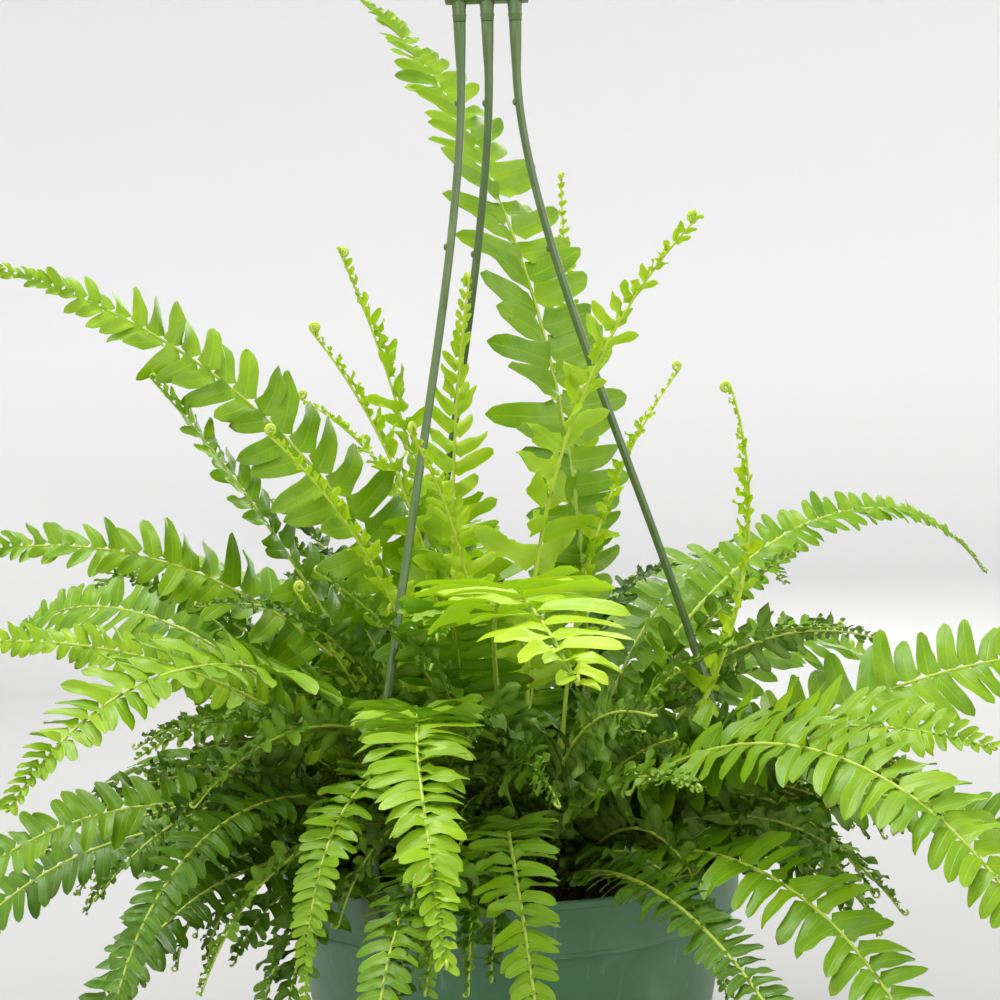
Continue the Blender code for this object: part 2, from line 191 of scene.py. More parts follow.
def noiseValue(tree, scale, detail=2.0, vector=None):
    node = addNode(tree, "ShaderNodeTexNoise")
    setInputs(node, Scale=scale, Detail=detail)
    tree.links.new(vector or objectPlace(tree), node.inputs["Vector"])
    return node.outputs["Fac"]


def attributeValue(tree, name):
    return addNode(tree, "ShaderNodeAttribute", attribute_name=name).outputs["Fac"]


def addBump(tree, shader, height, strength, distance):
    bump = addNode(tree, "ShaderNodeBump")
    setInputs(bump, Strength=strength, Distance=distance)
    tree.links.new(height, bump.inputs["Height"])
    tree.links.new(bump.outputs[0], shader.inputs["Normal"])


def newGroup(name, inputs, outputs):
    # a node group with named sockets: inputs are (name, type, default), outputs (name, type)
    group = bpy.data.node_groups.new(name, "ShaderNodeTree")
    for label, kind, default in inputs:
        group.interface.new_socket(name=label, in_out="INPUT", socket_type=kind).default_value = default
    for label, kind in outputs:
        group.interface.new_socket(name=label, in_out="OUTPUT", socket_type=kind)
    return group, group.nodes.new("NodeGroupInput"), group.nodes.new("NodeGroupOutput")


# leaf and stalk finishes

leafLook = {
    "ribWidth": 0.06,
    "sideVeins": 15.0,
    "sideVeinLean": 5.5,
    "blotchScale": 110.0,
    "tipBrown": (0.22, 0.10, 0.012),
    "underside": (0.40, 0.58, 0.08),
}

leafTones = {  # colours from newest to oldest growth, how clear the veins are, browning, light let through
    "leaf": ((0.52, 0.74, 0.016), (0.215, 0.44, 0.007), (0.055, 0.18, 0.005), 0.42, 1.0, 0.42),
    # innerLeafPaintedShade is a darker copy of leaf: older growth, and also painted shade for the fronds and sprigs
    # deep in the plant
    "innerLeafPaintedShade": ((0.36, 0.58, 0.014), (0.130, 0.31, 0.006), (0.032, 0.105, 0.004), 0.36, 1.2, 0.32),
    "youngLeaf": ((0.68, 0.86, 0.03), (0.42, 0.68, 0.012), (0.18, 0.40, 0.008), 0.30, 0.4, 0.50),
}


def makeLeafTone():
    # tone of a leaflet from its age (which also carries painted shade), its own tint and where on the leaflet a point
    # lies
    group, given, result = newGroup(
        "leafTone",
        [
            ("Young", "NodeSocketColor", (0.5, 0.6, 0.02, 1)),
            ("Mature", "NodeSocketColor", (0.2, 0.4, 0.01, 1)),
            ("Old", "NodeSocketColor", (0.05, 0.14, 0.01, 1)),
            ("Vein", "NodeSocketFloat", 0.35),
            ("Browning", "NodeSocketFloat", 0.5),
        ],
        [
            ("Colour", "NodeSocketColor"),
            ("Through", "NodeSocketColor"),
            ("Roughness", "NodeSocketFloat"),
            ("Height", "NodeSocketFloat"),
        ],
    )
    split = addNode(group, "ShaderNodeSeparateXYZ")
    group.links.new(addNode(group, "ShaderNodeUVMap", uv_map="leaf").outputs[0], split.inputs[0])
    along = split.outputs[0]
    fromRib = mathNode(group, "ABSOLUTE", mathNode(group, "SUBTRACT", split.outputs[1], 0.5))
    tint = attributeValue(group, "tint")
    under = attributeValue(group, "under")
    blotch = noiseValue(group, leafLook["blotchScale"], 3)
    age = mathNode(group, "MULTIPLY_ADD", blotch, 0.36, attributeValue(group, "age"))
    age = mathNode(group, "MULTIPLY_ADD", tint, 0.16, age)
    tone = mixColour(group, remap(group, age, 0.22, 0.72), given.outputs["Young"], given.outputs["Mature"])
    tone = mixColour(group, remap(group, age, 0.72, 1.22), tone, given.outputs["Old"])
    # the midrib and the side veins are paler lines, and so is the thin margin
    rib = remap(group, fromRib, 0.0, leafLook["ribWidth"], 1.0, 0.0, "SMOOTHSTEP")
    phase = mathNode(group, "MULTIPLY_ADD", fromRib, -leafLook["sideVeinLean"], mathNode(
        group, "MULTIPLY", along, leafLook["sideVeins"]))
    wave = mathNode(group, "SINE", mathNode(group, "MULTIPLY", phase, math.tau))
    sideVein = remap(group, wave, 0.5, 1.0, 0.0, 0.4, "SMOOTHSTEP")
    margin = remap(group, fromRib, 0.42, 0.5, 0.0, 0.7, "SMOOTHSTEP")
    vein = mathNode(group, "MAXIMUM", mathNode(group, "MAXIMUM", rib, sideVein), margin)
    strength = mathNode(group, "MULTIPLY", vein, given.outputs["Vein"])
    tone = mixColour(group, strength, tone, given.outputs["Young"])
    # some leaflet tips have dried, and there are a few specks
    dried = mathNode(group, "MULTIPLY", remap(group, along, 0.88, 1.0), remap(group, tint, 0.90, 0.98))
    speck = remap(group, noiseValue(group, 380.0, 1), 0.76, 0.80, 0.0, 0.6)
    dried = mathNode(group, "MULTIPLY", mathNode(group, "MAXIMUM", dried, speck), given.outputs["Browning"])
    tone = mixColour(group, dried, tone, leafLook["tipBrown"])
    tone = mixColour(group, mathNode(group, "MULTIPLY", under, 0.35), tone, leafLook["underside"])
    group.links.new(tone, result.inputs["Colour"])
    group.links.new(mixColour(group, 1.0, tone, (1.0, 0.97, 0.4), "MULTIPLY"), result.inputs["Through"])
    rough = mathNode(group, "MULTIPLY_ADD", under, 0.18, mathNode(group, "MULTIPLY_ADD", blotch, 0.22, 0.26))
    group.links.new(rough, result.inputs["Roughness"])
    swell = mathNode(group, "MULTIPLY_ADD", vein, -0.6, mathNode(group, "MULTIPLY", blotch, 0.5))
    group.links.new(swell, result.inputs["Height"])
    return group


def makeLeafMaterial(name, group):
    young, mature, old, vein, browning, glow = leafTones[name]
    material, tree, shader = newMaterial(name)
    tone = addNode(tree, "ShaderNodeGroup", node_tree=group)
    setInputs(tone, Young=(*young, 1), Mature=(*mature, 1), Old=(*old, 1), Vein=vein, Browning=browning)
    tree.links.new(tone.outputs["Colour"], shader.inputs["Base Color"])
    tree.links.new(tone.outputs["Roughness"], shader.inputs["Roughness"])
    setInputs(shader, Specular_IOR_Level=0.5)
    addBump(tree, shader, tone.outputs["Height"], 0.35, 0.0005)
    through = addNode(tree, "ShaderNodeBsdfTranslucent")
    tree.links.new(tone.outputs["Through"], through.inputs["Color"])
    blend = addNode(tree, "ShaderNodeMixShader")
    blend.inputs[0].default_value = glow
    tree.links.new(shader.outputs[0], blend.inputs[1])
    tree.links.new(through.outputs[0], blend.inputs[2])
    tree.links.new(blend.outputs[0], tree.nodes["Material Output"].inputs["Surface"])
    return material


def makeStalkMaterial(name, tipColour, footColour):
    # a stalk, brown and scaly at its foot and yellow-green above
    material, tree, shader = newMaterial(name)
    age = attributeValue(tree, "age")
    grain = noiseValue(tree, 700.0)
    share = mathNode(tree, "MULTIPLY_ADD", grain, 0.4, age)
    colour = mixColour(tree, remap(tree, share, 0.35, 1.15), tipColour, footColour)
    scales = remap(tree, noiseValue(tree, 1300.0, 1), 0.58, 0.66)
    scales = mathNode(tree, "MULTIPLY", scales, remap(tree, age, 0.3, 1.0, 0.10, 0.8))
    colour = mixColour(tree, scales, colour, (0.16, 0.075, 0.022))
    tree.links.new(colour, shader.inputs["Base Color"])
    tree.links.new(mathNode(tree, "MULTIPLY_ADD", grain, 0.25, 0.35), shader.inputs["Roughness"])
    addBump(tree, shader, grain, 0.4, 0.0003)
    return material


leafTone = makeLeafTone()
leafMaterials = {name: makeLeafMaterial(name, leafTone) for name in leafTones}
stalkMaterial = makeStalkMaterial("stalk", (0.42, 0.55, 0.06), (0.13, 0.12, 0.03))
youngStalkMaterial = makeStalkMaterial("youngStalk", (0.52, 0.66, 0.06), (0.26, 0.34, 0.05))
print("stage: leaf materials made")


# hanger routes, needed early because the leaflets keep clear of them

hanger = {
    "barFoot": 0.511,
    "barSize": (0.037, 0.0075, 0.009),
    "collarPitch": 0.0122,
    "collarLength": 0.0085,
    "collarRadii": (0.0034, 0.0029),
    "gap": 0.0003,
    "bearings": {"front": -122, "back": 118, "right": -2},   # in the order of their collars
    "headLength": 0.020,
    "headRadius": 0.0028,
    "strandRadius": 0.0018,
    "topHandle": 0.089,
    "footHandle": 0.081,
    "rimMiddle": 0.1004,
    "footHeight": 0.1416,
    "partingHeight": 0.0004,
    "nubHeights": (0.465, 0.402),
}


def strandRoute(order, bearing):
    top = Vector(((order - 1) * hanger["collarPitch"], 0, hanger["barFoot"] - hanger["collarLength"] - hanger["gap"]))
    neck = top - up * hanger["headLength"]
    foot = polar(bearing, hanger["rimMiddle"], hanger["footHeight"])
    head = bezierRings(top, top - up * 0.006, neck + up * 0.006, neck, 8)
    drop = bezierRings(neck, neck - up * hanger["topHandle"], foot + up * hanger["footHandle"], foot, 56)
    return head, drop


strandRoutes = {side: strandRoute(order, hanger["bearings"][side]) for order, side in enumerate(hanger["bearings"])}
strandPlaces = [place for head, drop in strandRoutes.values() for place, along in head + drop]


def isClear(point):
    # true where a leaflet meets neither a strand, the soil nor the wall of the pot
    spread = math.hypot(point.x, point.y)
    if point.z < 0.1435 and (0.089 < spread < 0.1045 or spread <= 0.089 and point.z < 0.1215):
        return False
    if point.z < 0.118 and spread < 0.075 + 0.21 * point.z:
        return False
    return all((point - place).length_squared > 0.0046**2 for place in strandPlaces)


# leaflets

leaflet = {
    "alongSteps": 7,
    "acrossSteps": 4,
    "halfWidth": 0.155,   # these are shares of the leaflet's length
    "stemWidth": 0.028,
    "upperEar": 0.062,
    "lowerEar": 0.020,
    "earPlace": 0.11,
    "earSpread": 0.085,
    "ribDepth": 0.012,
    "thickness": 0.010,
    "widthShare": 0.285,
    "widthExtra": 0.0012,
    "spacing": 0.93,      # a share of the leaflet's width
}


def leafletHalfWidth(share, side):
    stem = min(1.0, share / 0.06) ** 0.7
    tip = max(0.0, 1 - share**5) ** 0.55
    ear = leaflet["upperEar"] if side > 0 else leaflet["lowerEar"]
    ear *= math.exp(-(((share - leaflet["earPlace"]) / leaflet["earSpread"]) ** 2))
    return max(0.012, mix(leaflet["stemWidth"], leaflet["halfWidth"] * tip + ear, stem))


def makeLeafletTemplate(isMirrored):
    # a flat grid takes a leaflet's outline, one unit long from x = 0, and a lower skin closes it
    work = bmesh.new()
    bmesh.ops.create_grid(work, x_segments=leaflet["alongSteps"], y_segments=leaflet["acrossSteps"], size=0.5)
    leafMap = work.loops.layers.uv.new("leaf")
    bakeMap = work.loops.layers.uv.new("OFBake")
    for layerName in ("tint", "age", "under"):
        work.verts.layers.float.new(layerName)
    underLayer = work.verts.layers.float["under"]
    for vert in work.verts:
        share = vert.co.x + 0.5
        share = mix(share, (1 - math.cos(math.pi * share)) / 2, 0.6)
        vert.co = (share, vert.co.y * 2, 0)
    for face in work.faces:
        for loop in face.loops:
            share, side = loop.vert.co.x, loop.vert.co.y
            loop[leafMap].uv = (share, side / 2 + 0.5)
            loop[bakeMap].uv = (0.03 + 0.94 * share, 0.255 + 0.215 * side)
    for corner in [vert for vert in work.verts if len(vert.link_edges) == 2]:
        # a cut from each corner keeps the two skins from sharing a diagonal
        face = corner.link_faces[0]
        opposite = next(vert for vert in face.verts if vert is not corner and not vert.is_boundary)
        bmesh.ops.connect_verts(work, verts=[corner, opposite])
    isBorder = {vert: vert.is_boundary for vert in work.verts}
    for edge in work.edges:
        edge.smooth = not edge.is_boundary   # a crisp margin keeps the blade from looking swollen
    for vert in work.verts:
        share, side = vert.co.x, vert.co.y
        rib = leaflet["ribDepth"] * math.exp(-((side / 0.3) ** 2))
        lift = 0 if isBorder[vert] else leaflet["thickness"] / 2
        vert.co = (share, side * leafletHalfWidth(share, side), lift - rib)
    copied = bmesh.ops.duplicate(work, geom=work.verts[:] + work.edges[:] + work.faces[:])
    lowFaces = [item for item in copied["geom"] if isinstance(item, bmesh.types.BMFace)]
    for vert in {vert for face in lowFaces for vert in face.verts}:
        if not vert.is_boundary:
            vert.co.z -= leaflet["thickness"]
            vert[underLayer] = 1.0
    for face in lowFaces:
        for loop in face.loops:
            loop[bakeMap].uv.y += 0.49
    bmesh.ops.reverse_faces(work, faces=lowFaces)
    bmesh.ops.remove_doubles(work, verts=work.verts, dist=0.00001)
    if isMirrored:
        bmesh.ops.scale(work, vec=(1, -1, 1), verts=work.verts)
    bmesh.ops.recalc_face_normals(work, faces=work.faces)
    mesh = bpy.data.meshes.new("leafletTemplate")
    work.to_mesh(mesh)
    work.free()
    return mesh


leafletTemplates = {1: makeLeafletTemplate(True), -1: makeLeafletTemplate(False)}
print("stage: leaflet templates made,", len(leafletTemplates[1].polygons), "faces each")


def addLeaflet(work, stand, size, width, side, bends, cell, tint, age):
    # one leaflet on its stand (place, out, tipward, lift), bent and twisted by its own bends
    place, out, tipward, lift = stand
    firstVert = len(work.verts)
    firstFace = len(work.faces)
    work.from_mesh(leafletTemplates[side])
    work.verts.ensure_lookup_table()
    work.faces.ensure_lookup_table()
    tintLayer = work.verts.layers.float["tint"]
    ageLayer = work.verts.layers.float["age"]
    bakeMap = work.loops.layers.uv["OFBake"]
    arch, sickle, fold, twist, wave, phase = bends
    broad = width / (2 * leaflet["halfWidth"])
    for index in range(firstVert, len(work.verts)):
        vert = work.verts[index]
        share = vert.co.x
        y = vert.co.y * broad
        z = vert.co.z * size + abs(y) * fold + y * wave * math.sin(share * 9 + phase)
        turn = twist * share
        y, z = y * math.cos(turn) - z * math.sin(turn), y * math.sin(turn) + z * math.cos(turn)
        y -= side * sickle * size * share * share
        bend = arch * share
        reach = size * (math.sin(bend) / arch if abs(arch) > 0.01 else share)
        fall = size * ((1 - math.cos(bend)) / arch if abs(arch) > 0.01 else 0)
        reach += z * math.sin(bend)
        z = z * math.cos(bend) - fall
        vert.co = place + out * reach - tipward * (side * y) + lift * z
        vert[tintLayer] = tint
        vert[ageLayer] = age
    corner, cellSize = cell
    for index in range(firstFace, len(work.faces)):
        for loop in work.faces[index].loops:
            spot = loop[bakeMap].uv
            loop[bakeMap].uv = (corner[0] + spot.x * cellSize[0], corner[1] + spot.y * cellSize[1])


# fronds

frondLook = {
    "rootHeight": 0.1268,
    "bendPower": 1.4,
    "pathSteps": 160,
    "tubeRings": 26,
    "footRadius": 0.00135,
    "tipRadius": 0.00042,
    "tipSize": 0.16,      # the last leaflets, as a share of the longest
    "lean": (4, 34),      # how far leaflets point towards the tip, at the foot and the tip
    "liftAngle": 13,
    "arch": (0.10, 0.60),
    "sickle": (0.05, 0.17),
    "grow": 1.12,         # leaflets are this much longer than their chord, before they bend
    "spacing": {"leaf": 1.06, "young": 1.42},
    "crowded": {
        "frond_front": 0.84, "frond_front_inner": 0.86, "frond_left_low": 0.94, "frond_front_left": 0.9,
        "frond_front_bright": 1.15,
    },
}

# x, y, heading, rise, droop, swerve, length, roll, longest leaflet in mm, age (older is darker; fronds that hang in the
# plant's shade are given more age, as painted shade), where the leaflets start
fronds = {
    "frond_back_tall": (0.034, 0.028, 134, 96, 64, -6, 0.485, 0, 38, 0.34, 0.24),
    "frond_top_left": (-0.008, 0.006, 184, 80, 67, 19, 0.360, -50, 36, 0.34, 0.22),
    "frond_top_left_low": (-0.022, -0.008, -164, 68, 19, 1, 0.260, -30, 27, 0.42, 0.22),
    "frond_left_high": (-0.012, 0.012, 187, 66, 79, 12, 0.295, -42, 30, 0.42, 0.18),
    "frond_left_back": (-0.030, 0.0, 169, 55, 89, -38, 0.325, -48, 27, 0.50, 0.18),
    "frond_left_near": (-0.024, -0.004, -143, 52, 61, -12, 0.275, -45, 18, 0.26, 0.16),
    "frond_left_low": (-0.020, -0.018, -130, 62, 110, 9, 0.300, -22, 30, 0.36, 0.18),
    "frond_left_drop": (-0.026, -0.022, -131, 48, 132, 15, 0.255, -22, 16, 0.62, 0.16),
    "frond_left_under": (-0.034, 0.010, 183, 25, 109, 12, 0.295, -40, 20, 0.58, 0.16),
    "frond_left_shadow": (-0.034, -0.022, -132, 30, 100, 10, 0.235, -30, 18, 0.75, 0.16),
    "frond_front": (-0.008, -0.020, -108, 54, 111, 31, 0.325, 0, 26, 0.30, 0.20),
    "frond_front_left": (-0.014, -0.026, -116, 62, 155, 11, 0.225, 0, 17, 0.46, 0.18),
    "frond_front_under": (-0.006, -0.034, -106, 38, 117, 5, 0.215, 0, 18, 0.55, 0.16),
    "frond_front_right": (0.004, -0.032, -97, 43, 124, 19, 0.245, 0, 18, 0.44, 0.16),
    "frond_front_bright": (0.006, -0.014, -101, 57, 85, 25, 0.360, 0, 26, 0.16, 0.54),
    "frond_front_inner": (-0.016, -0.010, -93, 79, 103, 1, 0.235, 0, 28, 0.42, 0.20),
    "frond_right_big": (0.022, -0.012, -52, 46, 63, 22, 0.230, 38, 31, 0.32, 0.20),
    "frond_right_near": (0.018, -0.018, -52, 48, 127, -2, 0.335, 30, 25, 0.38, 0.18),
    "frond_right_drop": (0.020, -0.028, -52, 30, 111, -8, 0.270, 24, 23, 0.45, 0.16),
    "frond_right_under": (0.012, -0.034, -72, 26, 92, 14, 0.255, 20, 14, 0.68, 0.16),
    "frond_right_high": (0.020, 0.016, 23, 65, 109, 22, 0.385, 38, 16, 0.42, 0.20),
    "frond_right_back": (0.038, 0.014, 34, 59, 125, 5, 0.285, 34, 22, 0.44, 0.20),
    "frond_right_edge": (0.034, 0.010, 5, 36, 48, -4, 0.315, 45, 29, 0.40, 0.18),
    "frond_right_low": (0.040, -0.010, -18, 34, 100, 6, 0.260, 35, 20, 0.52, 0.16),
    "frond_left_side": (-0.038, -0.008, -162, 36, 100, -4, 0.255, -35, 20, 0.52, 0.16),
    "frond_back_1": (0.026, 0.024, 50, 68, 105, 8, 0.300, 0, 26, 0.48, 0.18),
    "frond_back_2": (0.018, 0.034, 72, 62, 110, -6, 0.290, 0, 26, 0.44, 0.18),
    "frond_back_3": (0.004, 0.028, 96, 70, 100, 8, 0.310, 0, 27, 0.40, 0.18),
    "frond_back_4": (-0.014, 0.030, 128, 60, 112, -6, 0.290, 0, 26, 0.50, 0.18),
    "frond_back_5": (-0.024, 0.024, 146, 68, 102, 6, 0.300, 0, 26, 0.45, 0.18),
    "frond_back_low_1": (0.043, 0.024, 36, 36, 100, 6, 0.265, 0, 20, 0.55, 0.16),
    "frond_back_low_2": (0.024, 0.038, 60, 38, 108, -4, 0.250, 0, 20, 0.52, 0.16),
    "frond_back_low_3": (0.008, 0.042, 84, 36, 104, 6, 0.255, 0, 20, 0.58, 0.16),
    "frond_back_low_4": (-0.008, 0.042, 108, 38, 108, -4, 0.250, 0, 20, 0.52, 0.16),
    "frond_back_low_5": (-0.022, 0.038, 132, 36, 102, 6, 0.260, 0, 20, 0.58, 0.16),
    "frond_back_low_6": (-0.036, 0.022, 156, 38, 104, -4, 0.255, 0, 20, 0.52, 0.16),
    "frond_inner_1": (0.004, 0.010, 66, 80, 60, 10, 0.205, 0, 18, 0.55, 0.16),
    "frond_inner_2": (-0.006, 0.016, 110, 82, 62, -10, 0.215, 0, 18, 0.60, 0.16),
    "frond_inner_3": (0.018, -0.004, -22, 72, 78, -6, 0.190, 0, 18, 0.55, 0.16),
    "young_right_front": (0.013, -0.012, -42, 97, 60, 5, 0.310, 0, 32, 0.18, 0.28),
    "young_middle": (-0.020, -0.008, -80, 99, 34, 14, 0.270, 0, 30, 0.20, 0.23),
    "young_back": (0.038, 0.042, 94, 81, 9, -3, 0.340, 0, 15, 0.22, 0.37),
    "young_right_back": (0.024, 0.008, 33, 91, 45, -6, 0.245, 0, 14, 0.16, 0.37),
    "young_right": (0.030, -0.014, -1, 47, -61, -3, 0.240, 0, 19, 0.16, 0.33),
    "young_left_tall": (-0.018, 0.014, 151, 88, 25, 0, 0.295, 0, 30, 0.24, 0.28),
    "young_left": (-0.026, -0.003, 176, 95, 44, 0, 0.260, 0, 25, 0.20, 0.28),
    "young_left_back": (-0.020, 0.022, 153, 99, 76, -5, 0.255, 0, 18, 0.22, 0.37),
    "young_left_front": (-0.020, -0.016, -142, 84, 45, -5, 0.225, 0, 20, 0.10, 0.3),
    "young_centre": (-0.008, -0.030, -114, 96, 54, -6, 0.215, 0, 20, 0.12, 0.33),
    "young_left_small": (-0.024, -0.016, -145, 65, 10, 1, 0.155, 0, 10, 0.06, 0.38),
    "young_small": (-0.033, -0.018, -151, 84, 6, 0, 0.125, 0, 8, 0.05, 0.42),
}


def frondPath(spec):
    # places and directions along a frond: it rises at its heading and bends over by its droop
    x, y, heading, rise, droop, swerve, length = spec[:7]
    count = frondLook["pathSteps"]
    place = Vector((x, y, frondLook["rootHeight"]))
    path = [(place.copy(), up.copy(), heading)]
    for index in range(count):
        share = (index + 0.5) / count
        turn = heading + swerve * share
        pitch = math.radians(rise - droop * share ** frondLook["bendPower"])
        along = polar(turn) * math.cos(pitch) + up * math.sin(pitch)
        place = place + along * (length / count)
        path.append((place.copy(), along, turn))
    return path


def pathFrame(path, share, roll):
    # place, direction, sideways and upper side at a share of the path
    at = share * (len(path) - 1)
    low = min(int(at), len(path) - 2)
    place = path[low][0].lerp(path[low + 1][0], at - low)
    along = path[max(low, 1)][1]
    turn = math.radians(path[low][2])
    across = Vector((-math.sin(turn), math.cos(turn), 0))
    across = Matrix.Rotation(math.radians(roll), 3, along) @ across
    return place, along, across, along.cross(across)


def leafletSize(longest, share, start, isYoung):
    spread = (share - start) / (1 - start)
    full = min(1, 0.46 + 2.2 * spread) * max(0.0, 1 - spread**2.1) ** 0.85
    if isYoung:
        full = min(1, 0.6 + 2.5 * spread) * max(0.0, 1 - spread**1.3) ** 0.95
    if start > 0.5 and not isYoung:
        full = min(1, 0.6 + 3 * spread) * max(0.0, 1 - spread**5) ** 0.7   # still unrolling, so blunt
    return longest * frondLook["grow"] * max(full, frondLook["tipSize"])


def leafletPlaces(spec, spacing, isYoung=False):
    # (share, side, length, width) of every leaflet, one side half a step behind the other
    length, longest, start = spec[6], spec[8] / 1000, spec[10]
    places = []
    for side in (1, -1):
        share = start + (0.5 if side < 0 else 0) * longest * 0.12 / length
        while share < 0.985:
            size = leafletSize(longest, share, start, isYoung)
            width = size * leaflet["widthShare"] + leaflet["widthExtra"]
            places.append((share, side, size, width))
            share += spacing * max(width, 0.0036) / length
    return places


def bakeCells(count, foot, head):
    # a grid of equal cells, wide enough for each leaflet's two skins
    columns = max(1, math.ceil(math.sqrt(count / (1.5 * (head - foot)))))
    rows = math.ceil(count / columns)
    size = (1 / columns, (head - foot) / rows)
    return [((index % columns * size[0], foot + index // columns * size[1]), size) for index in range(count)]


def addStalk(work, rings, strip, ages, materialIndex):
    # a tapering stalk with its own strip of the bake map
    made, faces = sweepTube(work, rings, sides=6)
    bakeMap = work.loops.layers.uv["OFBake"]
    ageLayer = work.verts.layers.float["age"]
    order = {vert: index for index, vert in enumerate(made[0])}
    level = {vert: 0 for vert in made[0]}
    for number, ring in enumerate(made[1:], 1):
        for vert in ring:
            before = [edge.other_vert(vert) for edge in vert.link_edges if level.get(edge.other_vert(vert)) == number - 1]
            order[vert] = order[before[0]]
        for vert in ring:
            level[vert] = number
    for vert, number in level.items():
        vert[ageLayer] = ages[number]
    for face in faces:
        face.material_index = materialIndex
        wraps = {order[vert] for vert in face.verts} == {0, 5}
        for loop in face.loops:
            turn = 6 if wraps and order[loop.vert] == 0 else order[loop.vert]
            loop[bakeMap].uv = (
                0.01 + 0.98 * level[loop.vert] / (len(made) - 1),
                mix(strip[0], strip[1], 0.1 + 0.8 * turn / 6),
            )


def coilRings(place, along, across, radius, turns, thickness):
    # a fiddlehead: the stalk's end wound up towards its upper side, tighter and tighter
    rings = []
    count = max(6, int(turns * 9))
    step = turns * 360 / count
    for index in range(1, count + 1):
        wound = index / count
        along = Matrix.Rotation(math.radians(-step), 3, across) @ along
        place = place + along * (mix(radius, radius * 0.42, wound) * math.radians(step))
        rings.append((place, along, mix(thickness, thickness * 1.25, wound)))
    return rings


def addFrond(work, spec, rng, cells, strip, places, isYoung=False, unruly=False):
    heading, length, roll, longest, age, start = spec[2], spec[6], spec[7], spec[8] / 1000, spec[9], spec[10]
    path = frondPath(spec)
    end = 0.985
    shares = [end * (index / frondLook["tubeRings"]) ** 0.9 for index in range(frondLook["tubeRings"] + 1)]
    thick = mix(0.72, 1.12, min(1.0, length / 0.4))
    rings = []
    ages = []
    for share in shares:
        place, along, across, normal = pathFrame(path, share, roll)
        radius = mix(frondLook["footRadius"] * thick, frondLook["tipRadius"], share**0.8)
        if isYoung:
            radius *= 1.1
        rings.append((place, along, radius * (1.35 if share < 0.01 else 1)))
        ages.append(max(0.0, 1 - share / 0.30) + rng.uniform(0, 0.12))
    place, along, across, normal = pathFrame(path, end, roll)
    if isYoung:
        coil = coilRings(place, along, across, 0.0023, 1.6, 0.00075)
    else:
        coil = coilRings(place, along, across, 0.0015, rng.uniform(0.3, 0.8), 0.00045)
    rings += coil
    ages += [0.0] * len(coil)
    addStalk(work, rings, strip, ages, 1)

    wilt = rng.uniform(-0.12, 0.12)
    for cell, (share, side, size, width) in zip(cells, places):
        place, along, across, normal = pathFrame(path, share, roll)
        spread = (share - start) / (1 - start)
        size *= rng.uniform(0.90, 1.06)
        lean = mix(*frondLook["lean"], spread**1.6) + rng.gauss(0, 4.5)
        lift = frondLook["liftAngle"] + rng.gauss(0, 7)
        arch = rng.uniform(*frondLook["arch"]) + wilt
        fold = rng.uniform(-0.10, 0.34)
        twist = rng.gauss(-0.20 * side, 0.36)
        wave = rng.uniform(0, 0.34)
        if isYoung or unruly:
            arch = rng.uniform(-0.5, 1.1)
            lean += rng.gauss(0, 9)
            lift += rng.gauss(0, 14)
            twist += rng.gauss(0, 0.45)
            wave += rng.uniform(0.1, 0.6)
            size *= rng.uniform(0.82, 1.22)
        if spread > 0.86 or isYoung and spread > 0.55:
            lean += 8
            lift += 10
            fold += 0.35
        if isYoung:
            lean += 4 + 8 * spread
        if spread < 0.12:
            arch += rng.uniform(0, 0.7)
            twist += rng.gauss(0, 0.5)
        bends = (arch, rng.uniform(*frondLook["sickle"]), fold, twist, wave, rng.uniform(0, 6.3))
        for attempt in range(3):
            leanNow = math.radians(lean + attempt * 16 * (1 if attempt % 2 else -1))
            out = across * side * math.cos(leanNow) + along * math.sin(leanNow)
            tipward = along * math.cos(leanNow) - across * side * math.sin(leanNow)
            liftNow = math.radians(lift)
            outNow = out * math.cos(liftNow) + normal * math.sin(liftNow)
            upper = normal * math.cos(liftNow) - out * math.sin(liftNow)
            middle = place + outNow * size * 0.5
            tip = place + outNow * size * 0.98 - upper * size * arch * 0.45
            if isClear(middle) and isClear(tip) and isClear(place + outNow * size * 0.2):
                break
        else:
            continue
        foot = place + outNow * 0.0002
        # leaflets nearer the foot are older and darker, which also paints shade into the crowded heart of the plant
        leafAgeAndShade = age + 0.16 * (0.45 - spread) + rng.gauss(0, 0.035)
        if isYoung:
            leafAgeAndShade = age + 0.20 * (0.3 - spread) + rng.gauss(0, 0.02)
        tint = rng.random() ** 1.3
        addLeaflet(work, (foot, outNow, tipward, upper), size, width, side, bends, cell, tint, leafAgeAndShade)


def startFrondWork():
    work = bmesh.new()
    work.loops.layers.uv.new("leaf")
    work.loops.layers.uv.new("OFBake")
    for layerName in ("tint", "age", "under"):
        work.verts.layers.float.new(layerName)
    return work


stripShare = 0.045
leafletCount = 0
for number, (name, spec) in enumerate(fronds.items()):
    isYoung = name.startswith("young")
    finish = "youngLeaf" if isYoung or name == "frond_front_bright" else "leaf"
    # the oldest fronds, which hang low and deep in the plant, take the darker copy: painted shade as well as age
    if spec[9] > 0.56:
        finish = "innerLeafPaintedShade"
    work = startFrondWork()
    spacing = frondLook["crowded"].get(name, frondLook["spacing"]["young" if isYoung else "leaf"])
    places = leafletPlaces(spec, spacing, isYoung)
    leafletCount += len(places)
    rng = random.Random(100 + number)
    cells = bakeCells(len(places), 0, 1 - stripShare)
    addFrond(work, spec, rng, cells, (1 - stripShare, 1), places, isYoung)
    stalk = youngStalkMaterial if isYoung else stalkMaterial
    finishPiece(name + ".leaves", work, [leafMaterials[finish], stalk], [name], smoothAngle=0)
print("stage: fronds made,", len(fronds), "fronds,", leafletCount, "leaflets")
